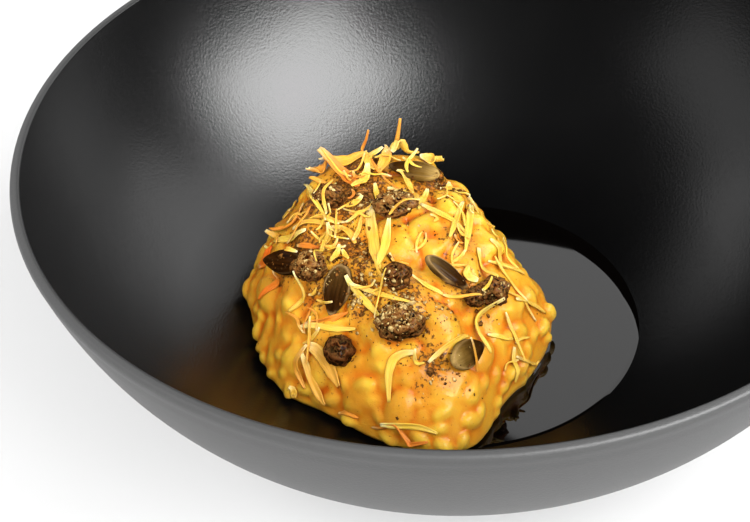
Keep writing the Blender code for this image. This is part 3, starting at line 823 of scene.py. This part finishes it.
def shape_seed(width, number):
    bm = bmesh.new()
    bmesh.ops.create_uvsphere(bm, u_segments=56, v_segments=40, radius=1.0)
    for v in bm.verts:
        x, y, z = v.co
        taper = 1.0 - SEED_TAPER[0] * x - SEED_TAPER[1] * x * x
        rim = exp(-((hypot(x, y) - RIM_PLACE) / RIM_WIDTH) ** 2) * RIM_HEIGHT
        ripple = 0.05 * noise.noise(Vector((x * 1.2, y * 5.0, number * 3.0)))
        swell = (abs(z) ** 0.85 * 0.88 + rim + ripple) * copysign(1.0, z)
        if abs(z) < 0.02:
            swell = 0.0
        v.co = Vector((x * SEED_LENGTH / 2, y * (width / 2) * taper,
                       swell * SEED_THICKNESS / 2 * (0.75 + 0.25 * taper)))
    smooth(bm, 0.4)
    return bm


# %% [markdown]
# The skin is olive, painted paler at its blunt end as a highlight and darker towards the
# tip as shade, or nearly black. Streaks of noise, stretched along the seed, colour it and
# raise its ribs. They are laid out by a vector stored before the seed is turned, because
# Object coordinates would not turn with it.

# %% Seed material
# Painted highlight and shade along the seed: pale at the blunt end, nearly black at the tip.
OLIVE_PAINTED_HIGHLIGHT = ((0.0, (0.34, 0.22, 0.065)), (0.30, (0.115, 0.064, 0.013)),
         (0.65, (0.040, 0.016, 0.0026)), (1.0, (0.009, 0.003, 0.0005)))
SEED_BLACK = ((0.30, (0.003, 0.0007, 0.0001)), (0.72, (0.024, 0.0080, 0.0016)))
STREAK_SHADE = ((0.35, (0.55, 0.50, 0.42)), (0.62, (1.0, 1.0, 1.0)))
PALE_RIM, PALE_SPECKS = (0.20, 0.12, 0.045), (0.22, 0.14, 0.06)


def make_seed_finish():
    material, tree = new_finish("seed_skin", 0.42, Specular_IOR_Level=0.0,
                                Coat_Weight=0.08, Coat_Roughness=0.10)
    streaks = add_noise(tree, 1, 4, 0.6, read(tree, "grain_place", "Vector"))
    # The ramp along the seed paints a highlight on the blunt end and shade towards the tip.
    olive = add_mix(tree, 0.8, add_ramp(tree, read(tree, "along"), OLIVE_PAINTED_HIGHLIGHT),
                    add_ramp(tree, streaks, STREAK_SHADE), "MULTIPLY")
    colour = add_mix(tree, read(tree, "darkness"), olive,
                     add_ramp(tree, streaks, SEED_BLACK))
    colour = add_mix(tree, read(tree, "rim"), colour, PALE_RIM)
    specks = add_mask(tree, add_noise(tree, 1100, 3, 0.6), 0.62, 0.72, 0.14)
    connect(tree, "Base Color", add_mix(tree, specks, colour, PALE_SPECKS))
    ribs = add_bump(tree, streaks, 0.00035, 0.6)
    add_bump(tree, add_noise(tree, 1600, 3, 0.6), 0.00010, 0.4, under=ribs)
    return material


# %% [markdown]
# Each seed lies at the middle of its CAD node's box, on the heap's own slope there, so
# the dressed seed stays where its solid is.

# %% Lay the seeds
topping_trees = []
seed_finish = make_seed_finish()
for number, (heading, tilt, width, darkness, pale) in enumerate(SEEDS, 1):
    node = "pumpkin_seed_%d" % number
    middle, _ = node_box(node)
    seed_bm = shape_seed(width, number)
    flat = [(v.co.x * 2 / SEED_LENGTH, v.co.y * 2 / width, v.co.z) for v in seed_bm.verts]
    rims = [pale * max(0.0, 1.0 - abs(hypot(x, y) - RIM_PLACE) / 0.10) for x, y, _ in flat]
    places = np.array(flat) * STREAK_STRETCH + (0, 0, number * 7.0)
    axes = frame_on(heap_normal(middle.x, middle.y), radians(heading))
    lean = Matrix.Rotation(radians(-tilt), 4, "Y")
    bmesh.ops.transform(seed_bm, verts=seed_bm.verts, matrix=matrix_from(*axes, middle) @ lean)
    topping_trees.append(BVHTree.FromBMesh(seed_bm))
    finish_piece("toasted_" + node, seed_bm, seed_finish, "seed_skin", node, rim=rims,
                 along=[(x + 1) / 2 for x, _, _ in flat], darkness=[darkness] * len(rims),
                 grain_place=places)
print("seeds:", SEED_COUNT)

# %% [markdown]
# ## Fried berries
#
# Frying shrinks the berries: their skins fall into lumps and wrinkles. An icosphere has
# even triangles all round, so it wrinkles alike on every side, where a UV sphere would
# pinch at its poles. Layers of noise push it in and out: slow lumps, folds, ridged
# wrinkles, and a fine skin.

# %% Shape a berry
# browning painted tan on the lit top (0 black, 1 tan), wrinkle depth, lumps, split, pale flecks
BERRIES = (
    (0.45, 1.2, 1.7, 0.0, 0.8),
    (0.55, 1.1, 1.0, 0.0, 0.5),
    (0.60, 0.8, 0.9, 0.0, 1.0),
    (0.15, 1.1, 1.3, 1.0, 0.3),
    (0.05, 0.9, 1.0, 0.0, 0.2),
    (0.25, 1.3, 1.5, 0.0, 0.8),
    (0.30, 1.5, 1.8, 0.0, 0.5),
    (0.15, 1.4, 1.4, 0.0, 0.4),
    (0.30, 1.0, 1.0, 0.0, 0.4),
)


def berry_push(p, number, wrinkle, lumps):
    shift = Vector((number * 7.3, number * 1.7, 0.0))
    lump = noise.noise(p * 1.5 + shift) * 0.16 * lumps
    fold = 1.0 - abs(noise.noise(p * 2.6 + shift * 1.3)) * 2.0
    ridge = 1.0 - abs(noise.noise(p * 5.5 + shift)) * 2.0
    fine = noise.noise(p * 14.0 + shift)
    return lump + (fold ** 3 * 0.07 + ridge * 0.028 + fine * 0.014) * wrinkle - 0.06


def shape_berry(size, number, wrinkle, lumps, split):
    bm = bmesh.new()
    bmesh.ops.create_icosphere(bm, subdivisions=5, radius=1.0)
    for v in bm.verts:
        p = v.co.copy()
        push = 1.0 + berry_push(p, number, wrinkle, lumps)
        if split:
            crack = exp(-((p.z + 0.25 - 0.25 * p.x) / 0.07) ** 2) * max(0.0, -p.y)
            push -= 0.22 * crack
        v.co = Vector((p.x * size.x, p.y * size.y, p.z * size.z)) * 0.5 * push
    return bm


# %% [markdown]
# Hollows are painted black as shade and ridges brown. Where the skin faces up it is painted
# tan, by how browned the berry is, as light from above. A net of pale flecks is salt and
# dried juice. The relief and the way the skin faces are measured on the mesh and stored, so
# the finish only has to read them.

# %% Berry material and places
# From hollow to ridge: the dark ends of both ramps are painted shade.
BERRY_BLACK_SHADED_HOLLOWS = ((0.36, (0.0015, 0.0003, 0.0001)), (0.62, (0.013, 0.0026, 0.0006)),
               (0.92, (0.062, 0.019, 0.005)))
BERRY_TAN_SHADED_HOLLOWS = ((0.36, (0.005, 0.0010, 0.0002)), (0.60, (0.048, 0.0135, 0.0025)),
             (0.86, (0.18, 0.072, 0.016)))
FLECK_NET = ((0.43, (0, 0, 0)), (0.50, (1, 1, 1)), (0.57, (0, 0, 0)))
PALE_FLECKS = (0.24, 0.130, 0.036)


def make_berry_finish():
    material, tree = new_finish("berry_skin", 0.50, Specular_IOR_Level=0.0,
                                Coat_Weight=0.09, Coat_Roughness=0.10)
    # The relief sets the tone, so the hollows get painted shade.
    tone = add_math(tree, "MULTIPLY_ADD", read(tree, "relief"), 2.4,
                    add_noise(tree, 520, 4, 0.65))
    # The browning is painted on the upward top only, as light from above.
    colour = add_mix(tree, read(tree, "browning"), add_ramp(tree, tone, BERRY_BLACK_SHADED_HOLLOWS),
                     add_ramp(tree, tone, BERRY_TAN_SHADED_HOLLOWS))
    net = add_ramp(tree, add_noise(tree, 620, 4, 0.65), FLECK_NET)
    pale = add_math(tree, "MULTIPLY", read(tree, "flecks"), net)
    connect(tree, "Base Color", add_mix(tree, pale, colour, PALE_FLECKS))
    add_bump(tree, add_noise(tree, 2000, 3, 0.6), 0.00016, 0.7)
    return material


berry_finish = make_berry_finish()
for number, (browning, wrinkle, lumps, split, flecks) in enumerate(BERRIES, 1):
    node = "fried_berry_%d" % number
    middle, size = node_box(node)
    berry_bm = shape_berry(size, number, wrinkle, lumps, split)
    bmesh.ops.translate(berry_bm, vec=middle, verts=berry_bm.verts)
    topping_trees.append(BVHTree.FromBMesh(berry_bm))
    relief = relief_of(berry_bm, 14)
    # How far the skin faces up: the top is painted tan with it, as light from above.
    upward = [0.5 + 0.5 * v.normal.z for v in berry_bm.verts]
    finish_piece("wrinkled_" + node, berry_bm, berry_finish, "berry_skin", node,
                 relief=relief, browning=[browning * up for up in upward],
                 flecks=[flecks * up * up for up in upward])
print("berries:", BERRY_COUNT)

# %% [markdown]
# ## Cut petals
#
# The petals are marigold-yellow strips, a few millimetres wide at most, that curl as they
# dry. Cloth simulation could drape them, but their places are known, so each is bent
# along a path of its own. The first table holds those that are CAD nodes, the second
# their smaller scraps, and the third where the thinnest shreds lie in clusters.

# %% Petal tables
# x and y of base, x and y of tip, width, sideways bow, lift at base, lift at tip, orange
PETALS = (
    (-23.5, 1, -20.5, -19.5, 3.6, -0.5, 0.3, 0, 0),
    (-18, -5.5, -21, -18.5, 2.4, 0.5, 0.3, 0, 0.05),
    (-36.5, 20, -24.5, 21.5, 3.2, 1.5, 5, 1, 0.35), (-39.5, 18, -33, 22, 3, 1, 4, 0.5, 0.5),
    (-35, 20, -27, 8.5, 3.6, 1, 3.5, 0.5, 0.8), (-24.5, 17, -28.5, 8.5, 2.4, 1, 2, 0.5, 0.05),
    (-20.5, 23.5, -22.5, 15, 2.4, -3, 3, 1, 0.1), (-19.5, 24.5, -21.5, 14.5, 3, 0.5, 2, 0.5, 0.2),
    (-20, 24, -15.5, 26, 1.4, 0.5, 0.5, 13.5, 0.5),
    (-18.5, 24.5, -15.5, 25.5, 2.4, 0.5, 0.5, 5.5, 0),
    (-25, 23, -24.5, 26, 1.3, 1.5, 1.5, 9.5, 0.6),
    (-18, 21.5, -11.5, 22.5, 2.6, 1.5, 1, 1.5, 0.15),
    (-11, 22.5, -5.5, 22.5, 3.4, 1, 0.5, 3.5, 0.2), (-2, 19, -0, 14, 2.6, 0, 2, 0.3, 0.1),
    (-34, 15, -39.5, 17.5, 1.9, 0, 0.3, 1.5, 0.35),
    (-41.5, 19, -34, -2.5, 1.4, -0.5, 0.8, 0.5, 0.05),
    (-19, 8.5, -10.5, 3, 2.2, 3, 0.3, 0.3, 0.3), (-8, 10.5, -10.5, 1, 1.7, 0, 0.8, 0.3, 0.05),
    (-10, 2.5, 3, -5, 1.4, 0.5, 0.4, 0.2, 0.1), (1, 6, -3, -8.5, 1.7, 0.5, 0.3, 0.5, 0.05),
    (-44.5, 2.5, -34.5, -2.5, 1.7, 0.5, 0.5, 0.8, 0.35),
    (-34.5, -3, -27.5, -9.5, 1.9, 1.5, 0.8, 0.3, 0.35),
    (-40, -2, -50.5, 6, 1.9, 1, 0.6, 0.6, 0.05), (-42, 10, -50.5, 9, 1.4, 4, 0.3, 2.5, 0.55),
    (-51.5, 10, -49, 3, 1.9, 0.5, 2.5, 0.3, 0.35), (-30, -10.5, -36.5, -9.5, 1.8, 0, 1, 0.5, 0.1),
    (-47, -8, -52.5, -9, 1.6, 0, 0.5, 0.3, 0.75), (-39, -17, -44.5, -20.5, 1.4, 1.5, 2, 0.2, 0.1),
    (-28.5, -19, -20.5, -30, 2.1, -0.5, 0.5, 0.4, 0),
    (-40, -25.5, -28.5, -26.5, 1.9, 0, 0.3, 0.4, 0.7),
    (-41.5, -25.5, -26.5, -30.5, 1.7, 0.5, 0.5, 0.3, 0.15),
    (3.5, 8, 1.5, -10, 1.9, 0.5, 0.3, 0.2, 0.05), (5.5, -7, 7.5, -15, 2, -0.5, 0.2, 0.2, 0.05),
    (7.5, -19.5, 5.5, -32, 1.8, -2.5, 0.5, 0.2, 0.05), (-8, -41, 2, -31.5, 1.7, 0, 0.8, 0.3, 0),
    (-11, -39, -17.5, -45.5, 2.2, -4, 1, 0.2, 0), (-39.5, -29, -30, -38, 3.6, 1, 0.3, 0.4, 0.25),
    (-41, -30, -34, -38.5, 2, -1, 0.5, 0.4, 0.2), (-19.5, -48, -6, -52, 1.7, 0, 0.3, 0.2, 0.05),
    (-40, 30, -34, 38, 2.4, 1, 0.5, 0.5, 0.2), (-20, 36, -12, 32, 2.6, 1, 0.5, 0, 0.15),
    (-6, 32, 2, 26, 1.8, 1, 0.5, 0.5, 0.3), (2, 16, 8, 8, 1.8, 1, 0, 0.5, 0.2),
)
PETAL_SCRAPS = (
    (-25.5, 3.5, -30, 2, 1.6, 1, 1, 0.3, 0.1), (-29, 0, -25, -1.5, 1.6, -0.5, 0.3, 0.3, 0.6),
    (2.5, 13.5, -0.5, 14.5, 1.1, -0.5, 1, 0.3, 0), (-22.5, 10, -21.5, 4, 1.5, 0, 0.5, 0.3, 0.1),
    (-16.5, 14, -12, 8, 1.6, 1, 0.3, 0.3, 0.3), (-11.5, 18, -13.5, 12, 1, -1.5, 4.2, 0.8, 0),
    (-11, -1.5, -18, -5.5, 1.2, -0.5, 0.3, 0.2, 0.15),
    (-7.5, -1.5, -6.5, -3.5, 0.9, 1.5, 0.6, 0.4, 0),
    (-34.5, -2.5, -36.5, -10, 1.5, 0.5, 0.8, 0.3, 0.05),
    (-30.5, -2.5, -38, 1, 0.9, 0, 0.4, 0.3, 0.3), (-33.5, 2, -35, -2, 1.2, 0, 0.6, 0.8, 0.1),
    (-53.5, 9.5, -51, 6, 1, -0.5, 1.5, 0.5, 0), (-55, 4, -50.5, 4, 2.2, -1, 0.4, 0.4, 0.95),
    (-43, -4, -37.5, -8, 1.4, 0, 0.3, 0.3, 0.9), (-31.5, -10, -33.5, -14.5, 1.4, 0, 0.8, 0.5, 0),
    (-31, -11, -29, -14, 1.1, 0, 0.5, 0.3, 0.1), (-41, -8.5, -45, -4, 1.2, 0, 0.3, 0.5, 0.05),
    (-39.5, -20, -37, -19.5, 0.8, -0.5, 0.5, 0.5, 0),
    (-27.5, -21, -12, -29, 1.3, -0.5, 0.3, 0.3, 0.1),
    (-28, -9, -25.5, -2.5, 1.2, 0, 0.5, 0.8, 0.5), (4, -17, 2, -14, 2.2, 1.5, 0.8, 0.2, 0),
    (3, -20.5, 5, -16.5, 0.9, -0.5, 0.5, 1, 0), (10.5, -7.5, 17, -5, 1.4, 0, 0.3, 0.3, 0.05),
    (13.5, -15, 21.5, -9.5, 1.5, 0, 0.3, 0.5, 0.05), (-12, -22.5, -4, -25, 1.5, 0, 0.3, 0.2, 0),
    (-4, -25, 1, -24, 0.9, 0, 0.2, 0.2, 0.3), (-1, -3, 3, -6, 0.9, -0.5, 0.2, 0.3, 0.2),
    (-1.5, -7, 1.5, -7.5, 0.9, -0.5, 0.2, 0.2, 0.6), (8, -3.5, 12, -7.5, 1.6, 1, 0.2, 0.2, 0.1),
    (13, -24.5, 11, -31.5, 1.5, 0, 0.2, 0.2, 0.05), (13, -26, 20, -21, 1, -0.5, 0.2, 0.2, 0.05),
    (6.5, -27, 12.5, -23.5, 1.2, 0, 0.2, 0.2, 0), (-11, -38.5, -9, -41, 0.9, -1.5, 1.4, 0.6, 0),
    (-0.5, -36, 3, -38.5, 0.9, 0, 3.6, 0.6, 0.6),
    (-39.5, -29, -40.5, -35, 1.6, -2.5, 0.6, 0.3, 0.5),
    (-36, -27, -41, -28.5, 1.1, 0.5, 0.4, 0.4, 0.1),
    (-44.5, -34, -44.5, -36, 1.7, 1, 0.5, 0.8, 0.2),
    (-23.5, -49, -8, -53, 1.5, -1.5, 0.3, 0.3, 0.85),
    (-32, -42, -27.5, -46, 1.3, 0, 0.3, 0.3, 0.6), (-45, 24, -49, 16, 1.6, 1, 0.4, 0.2, 0.1),
    (-28, 37, -22, 34, 1.6, 1, 0.4, 0.4, 0.6),
)
# clusters of shreds: centre x, y, spread, how many, how orange at most
SHRED_CLUSTERS = (
    (-29, 14, 5.0, 6, 0.9), (-21, 20, 4.5, 6, 0.6), (-34, 0, 4.0, 8, 0.7), (-31, -4, 3.0, 7, 0.3),
    (-46, 4, 4.0, 5, 0.9), (-8, 16, 5.0, 2, 0.3), (2, 6, 5.0, 5, 0.3), (7, -6, 4.5, 5, 0.2),
    (12, -20, 4.0, 4, 0.2), (-8, -8, 8.0, 5, 0.4), (-38, -24, 4.0, 5, 0.7),
    (-22, -24, 5.0, 4, 0.3),
)

# %% [markdown]
# Each petal's path is laid on whatever lies there already, and bridges hollows as a stiff
# strip would. Its rays are square to the heap, because rays straight down would spread
# its points too far apart on the steep flanks.

# %% Lay a path
PETAL_GAP = 0.22            # from the middle of a petal to what it lies on
PETAL_LENGTHWISE, PETAL_ACROSS = 22, 4
PETAL_RAY = 12.0
UPRIGHT_LIFT = 6.0          # a lift of this height stands straight up


def evened(values, reach, average):
    last = len(values) - 1
    for _ in range(3):
        values = [average(values[max(i - reach, 0)], values[i], values[min(i + reach, last)])
                  for i in range(last + 1)]
    return values


def lay_path(row):
    """Points over what lies there already, with their outward directions."""
    x0, y0, x1, y1, _, bow, base_lift, tip_lift, _ = row
    start, end = Vector((x0, y0)), Vector((x1, y1))
    side = Vector((y0 - y1, x1 - x0)).normalized()
    shares = [i / PETAL_LENGTHWISE for i in range(PETAL_LENGTHWISE + 1)]
    bases, outs, rises = [], [], []
    for i, share in enumerate(shares):
        plan = start.lerp(end, share) + side * bow * sin(pi * i / PETAL_LENGTHWISE)
        _, _, distance, base, out = ground(laid, plan.x, plan.y, PETAL_RAY)
        bases.append(base)
        outs.append(out)
        rises.append(PETAL_RAY - distance)
    rises = evened(rises, 2, lambda a, b, c: max(b, (a + c) / 2))
    rises = evened(rises, 1, lambda a, b, c: (a + b + c) / 3)
    path = []
    for share, base, out, rise in zip(shares, bases, outs, rises):
        lift = base_lift * (1 - share) ** 3 + tip_lift * share ** 3
        up = out.lerp(Vector((0, 0, 1)), min(1.0, lift / UPRIGHT_LIFT)).normalized()
        path.append((base + out * (rise + PETAL_GAP) + up * lift, out))
    return path


# %% [markdown]
# A petal starts as a flat grid. It is narrow at its base, widest past the middle, and
# ends in a small notched tip. It is cupped across its width and twists along its length,
# because a flat strip would all but vanish when it is seen from the side.

# %% Bend a petal along its path
PETAL_LAYERS = ("along", "across", "orange")


def petal_half_width(share, width):
    swell = sin(pi * min(1.0, 0.10 + 0.84 * share)) ** 0.7
    return max(0.22, width * swell) / 2


def new_petal_mesh():
    bm = bmesh.new()
    for name in PETAL_LAYERS:
        bm.verts.layers.float.new(name)
    return bm


def shape_petal(row, number):
    """Bend a grid along the laid path and note each vertex's place along and across."""
    bm = new_petal_mesh()
    path = lay_path(row)
    draw = random.Random(number * 13 + 1)
    cup, twist = draw.uniform(0.2, 0.8), draw.uniform(-0.9, 0.9)
    wave, shade = draw.uniform(0, 6.28), draw.uniform(-0.1, 0.15)
    layers = [bm.verts.layers.float[name] for name in PETAL_LAYERS]
    bmesh.ops.create_grid(bm, x_segments=PETAL_LENGTHWISE, y_segments=PETAL_ACROSS, size=1.0)
    for v in bm.verts:
        share, across = (v.co.x + 1) / 2, v.co.y
        i = round(share * PETAL_LENGTHWISE)
        point, out = path[i]
        forward = (path[min(i + 1, PETAL_LENGTHWISE)][0] - path[max(i - 1, 0)][0]).normalized()
        side = out.cross(forward)
        if side.length < 0.2:
            side = Vector((1, 0, 0)).cross(forward)
        side.normalize()
        turned = Matrix.Rotation(twist * sin(share * pi + wave * 0.2), 3, forward)
        side, face = turned @ side, turned @ forward.cross(side)
        frayed = 0.22 * noise.noise(Vector((share * 6.0, across * 0.8, number * 3.7)))
        half = petal_half_width(share, row[4]) * (1.0 + frayed)
        notch = 0.25 * half * (1 - cos(across * TURN)) / 2 if share > 0.96 else 0.0
        ripple = 0.12 * half * sin(share * 9.0 + wave) * across
        v.co = (point + side * half * across + face * (cup * half * across * across + ripple)
                - forward * notch)
        for layer, value in zip(layers, (share, across, row[8] + shade)):
            v[layer] = value
    laid.append(BVHTree.FromBMesh(bm))
    return bm


# %% [markdown]
# Petals are thin enough for light to come through, whitish where they were cut from the
# flower, and streaked along their length. Each vertex stores its place along and across
# the petal, so the streaks bend with it.

# %% Petal material
YELLOW = ((0.0, (0.60, 0.53, 0.28)), (0.14, (0.55, 0.43, 0.12)),
          (0.45, (0.52, 0.34, 0.040)), (1.0, (0.55, 0.39, 0.075)))
ORANGE_RED = ((0.0, (0.52, 0.33, 0.13)), (0.15, (0.48, 0.13, 0.014)),
              (1.0, (0.48, 0.085, 0.006)))
VEIN_SHADE = ((0.35, (0.72, 0.60, 0.45)), (0.62, (1.0, 1.0, 1.0)))
VEIN_STRETCH = (1.5, 5.0, 1.0)


def make_petal_finish():
    material, tree = new_finish(
        "petal_yellow", 0.42, Subsurface_Weight=0.25, Subsurface_Scale=0.0008,
        Subsurface_Radius=(1.0, 0.6, 0.1), Specular_IOR_Level=0.15)
    along, across, orange = (read(tree, name) for name in PETAL_LAYERS)
    colour = add_mix(tree, orange, add_ramp(tree, along, YELLOW),
                     add_ramp(tree, along, ORANGE_RED))
    place = add_node(tree, "ShaderNodeCombineXYZ", {"X": along, "Y": across})
    place = add_node(tree, "ShaderNodeMapping", {"Vector": place, "Scale": VEIN_STRETCH})
    veins = add_ramp(tree, add_noise(tree, 1.5, place=place), VEIN_SHADE)
    connect(tree, "Base Color", add_mix(tree, 0.7, colour, veins, "MULTIPLY"))
    return material


# %% [markdown]
# The petals are laid one after another, each over those before it. A Solidify modifier
# thickens them last, so that the rays meet one thin sheet for each petal. All scraps and
# shreds are one piece.

# %% Lay the petals
PETAL_THICKNESS = 0.32
FURTHEST_SHARE = 0.97       # nothing is scattered further out than this


def finish_petals(name, bm, *nodes):
    piece = finish_piece(name, bm, petal_finish, "petal_yellow", *nodes)
    solid = piece.modifiers.new("thickness", "SOLIDIFY")
    solid.thickness = PETAL_THICKNESS * MM
    solid.offset = 0.0
    solid.use_even_offset = False


def draw_shreds():
    draw = random.Random(21)
    rows = []
    for x, y, spread, count, orange in SHRED_CLUSTERS:
        for _ in range(count):
            start = Vector((draw.gauss(x, spread), draw.gauss(y, spread)))
            heading, length = draw.uniform(0, TURN), draw.uniform(4.0, 9.5)
            end = start + length * Vector((cos(heading), sin(heading)))
            row = (*start, *end, draw.uniform(0.45, 0.95), draw.uniform(-1.6, 1.6),
                   draw.uniform(0.1, 1.2), draw.uniform(0.1, 2.0), orange * draw.random() ** 2)
            if max(share_at(*start), share_at(*end)) <= FURTHEST_SHARE:
                rows.append(row)
    return rows


petal_finish = make_petal_finish()
laid = [heap_tree] + topping_trees
for number, row in enumerate(PETALS, 1):
    node = "petal_%02d" % number
    finish_petals("yellow_" + node, shape_petal(row, number), node)

scraps = [*enumerate(PETAL_SCRAPS, 101), *enumerate(draw_shreds(), 201)]
scrap_bm = new_petal_mesh()
for number, row in scraps:
    scrap_bm.from_mesh(mesh_from(shape_petal(row, number), "scrap"))
finish_petals("petal_scraps", scrap_bm)
print("petals:", len(PETALS), "and", len(scraps), "scraps")

# %% [markdown]
# ## Pepper and crumbs
#
# Cracked pepper and bits of fried skin are scattered in clusters. Dots in the finish
# would be flat, so each crumb is one of eight shards, icospheres whose corners are pulled
# in and out, squashed and turned at random. They are true to size and sit on the cream,
# and all crumbs of one kind are one piece.

# %% Scatter the crumbs
# centre x, y, spread, how many, size
DARK_CRUMBS = (
    (-15, -30, 3.4, 120, 1.3), (-25, -24, 2.2, 90, 1.3), (-3, -30, 2.2, 18, 1.2),
    (-2, 16, 2.0, 110, 1.7), (-26, 2, 3.0, 90, 1.5), (-25, -14, 3.0, 80, 1.3),
    (-31, 5, 3.0, 60, 1.4), (-6, -42, 2.6, 24, 1.3), (0, -42, 2.5, 12, 1.2),
    (-16, 0, 4.0, 40, 1.0), (-9, -5, 7.0, 30, 0.7), (-12, 9, 5.0, 50, 1.0),
    (-35, -13, 3.5, 60, 1.3), (-43, -6, 3.0, 40, 1.3), (4, -20, 3.0, 40, 1.1),
    (-12, -46, 8.0, 16, 0.9), (-28, 18, 4.0, 60, 1.1), (2, -2, 6.0, 30, 0.8),
    (-20, 8, 5.0, 60, 1.1), (-30, -8, 3.5, 50, 1.2), (20, -10, 1.0, 5, 1.0),
)
GOLD_CRUMBS = (
    (-15, -30, 3.2, 190, 1.2), (-25, -24, 2.0, 80, 1.2), (-3, -30, 2.6, 16, 1.1),
    (-2, 16, 1.8, 60, 1.3), (-26, 2, 2.5, 40, 1.2), (-16, 0, 3.0, 70, 0.9),
    (-33, 5, 3.0, 36, 1.0), (-36, -15, 2.5, 80, 0.9), (-6, -42, 2.6, 16, 1.0),
    (-25, -14, 2.6, 30, 1.0), (3, -22, 3.0, 20, 1.0), (8, -18, 3.0, 16, 0.8),
)
SHARD_COUNT, SHARD_FACES = 8, 20
CRUMB_RAY = 14.0


def make_shard(draw):
    bm = bmesh.new()
    bmesh.ops.create_icosphere(bm, subdivisions=1, radius=0.5)
    for v in bm.verts:
        v.co *= draw.uniform(0.45, 1.35)
    return mesh_from(bm, "shard")


def scatter(clusters, seed):
    bm = bmesh.new()
    draw = random.Random(seed)
    shards = [make_shard(draw) for _ in range(SHARD_COUNT)]
    for x, y, spread, count, size in clusters:
        for _ in range(count):
            px, py = draw.gauss(x, spread), draw.gauss(y, spread)
            heading = draw.uniform(0, 6.28)
            grown = size * (0.32 + 1.1 * draw.random() ** 2.5)
            sizes = [grown * draw.uniform(0.5, 1.3) for _ in range(3)]
            if share_at(px, py) > FURTHEST_SHARE:
                continue
            spot, normal = ground([heap_tree] + topping_trees, px, py, CRUMB_RAY)[:2]
            if not spot:
                continue
            axes = frame_on(normal, heading)
            place = matrix_from(*axes, spot + normal * sizes[2] * 0.15)
            stamp(bm, draw.choice(shards), place, (*sizes[:2], sizes[2] * 0.6))
    return bm


def scatter_crumbs(name, clusters, seed, finish_name, dark, light):
    material, tree = new_finish(finish_name, 0.7, Specular_IOR_Level=0.0)
    pick = add_noise(tree, 900, 2, 0.6)
    connect(tree, "Base Color", add_ramp(tree, pick, ((0.35, dark), (0.65, light))))
    piece = finish_piece(name, scatter(clusters, seed), material, "berry_skin")
    print(name + ":", len(piece.data.polygons) // SHARD_FACES)


scatter_crumbs("pepper", DARK_CRUMBS, 3, "pepper_dark",
               (0.018, 0.006, 0.0015), (0.17, 0.068, 0.015))
scatter_crumbs("golden_crumbs", GOLD_CRUMBS, 4, "crumb_gold",
               (0.14, 0.065, 0.014), (0.46, 0.34, 0.14))

# %% [markdown]
# ## The studio
#
# The bowl stands on a white table that glows a little, as an overexposed one does. The
# world is pale at the horizon and below it, under a dark ceiling, which keeps the right
# wall black.

# %% Table and room
FLOOR_SIZE = 8.0
FLOOR_GREY, FLOOR_GLOW = (0.31, 0.31, 0.31, 1.0), 0.30


def make_floor():
    bm = bmesh.new()
    bmesh.ops.create_grid(bm, x_segments=1, y_segments=1, size=FLOOR_SIZE / 2)
    mesh = mesh_from(bm, "table_top")
    material, _ = new_finish("table_white", 0.6, Base_Color=FLOOR_GREY,
                             Emission_Color=(1.0, 1.0, 1.0, 1.0),
                             Emission_Strength=FLOOR_GLOW)
    mesh.materials.append(material)
    floor = put_in_scene("table_top", mesh)


def make_world():
    world = bpy.data.worlds.new("room")
    world.use_nodes = True
    tree = world.node_tree
    colour = add_ramp(tree, object_height(tree),
                      ((0.0, (0.6, 0.6, 0.6)), (0.05, (0.02, 0.02, 0.02))))
    tree.links.new(colour, tree.nodes["Background"].inputs["Color"])
    bpy.context.scene.world = world


make_floor()
make_world()

# %% [markdown]
# The key box at the right in front lights everything. The glaze light at the same place is
# seen in reflections only, and makes the broad highlight on the far left wall. The wide
# back box, behind at the right, is what the sauce mirrors, and the two boxes at the left
# give the wall there a faint sheen. The two fills soften the shadows and show in no
# reflection.

# %% Soft boxes
# azimuth (0 is behind the food, 90 at its right), elevation, distance, width, height,
# radiance, and the kind of light it doesn't give
SOFT_BOXES = {
    "key_box": (119, 44, 2.6, 2.15, 1.85, 9.8, None),
    "glaze_light": (119, 44, 2.59, 2.15, 1.85, 5.0, "visible_diffuse"),
    "back_box": (36.5, 34, 2.8, 3.2, 1.9, 2.1, None),
    "left_box": (-85, 25, 2.8, 2.6, 1.3, 1.0, None),
    "back_left_box": (-42, 27, 2.8, 1.8, 1.2, 1.2, None),
    "front_fill": (172, 36, 2.6, 2.2, 2.2, 9.0, "visible_glossy"),
    "left_fill": (-120, 42, 2.6, 1.8, 1.8, 8.0, "visible_glossy"),
}

for name, (azimuth, elevation, distance, width, height, radiance, without) in SOFT_BOXES.items():
    a, e = radians(azimuth), radians(elevation)
    place = Vector((sin(a) * cos(e), cos(a) * cos(e), sin(e)))
    light = bpy.data.lights.new(name, "AREA")
    light.shape = "RECTANGLE"
    light.size, light.size_y = width, height
    light.energy = radiance * pi * width * height
    box = put_in_scene(name, light)
    box.location = place * distance
    box.rotation_euler = (-place).to_track_quat("-Z", "Y").to_euler()
    box.visible_camera = False
    if without:
        setattr(box, without, False)

# %% [markdown]
# The camera stands in front of the bowl and looks down at about forty degrees through a
# long lens, as the photograph was taken. Its axes were found by matching the rim.

# %% Camera
CAMERA_PLACE = Vector((0.0, -0.355, 0.3454))
CAMERA_FORWARD = Vector((-0.04897, 0.75586, -0.6529))
CAMERA_RIGHT = Vector((0.9987, 0.02788, -0.04264))
FOCAL_PIXELS, PICTURE_PIXELS, SENSOR_WIDTH = 1700, 750, 36


def make_camera():
    forward = CAMERA_FORWARD.normalized()
    right = (CAMERA_RIGHT - forward * CAMERA_RIGHT.dot(forward)).normalized()
    lens = bpy.data.cameras.new("camera")
    lens.lens = FOCAL_PIXELS / PICTURE_PIXELS * SENSOR_WIDTH
    lens.sensor_width = SENSOR_WIDTH
    lens.clip_start, lens.clip_end = 0.01, 30
    camera = put_in_scene("camera", lens)
    camera.matrix_world = matrix_from(right, right.cross(forward), -forward, CAMERA_PLACE)
    bpy.context.scene.camera = camera


make_camera()
bpy.context.scene.view_settings.view_transform = "Standard"
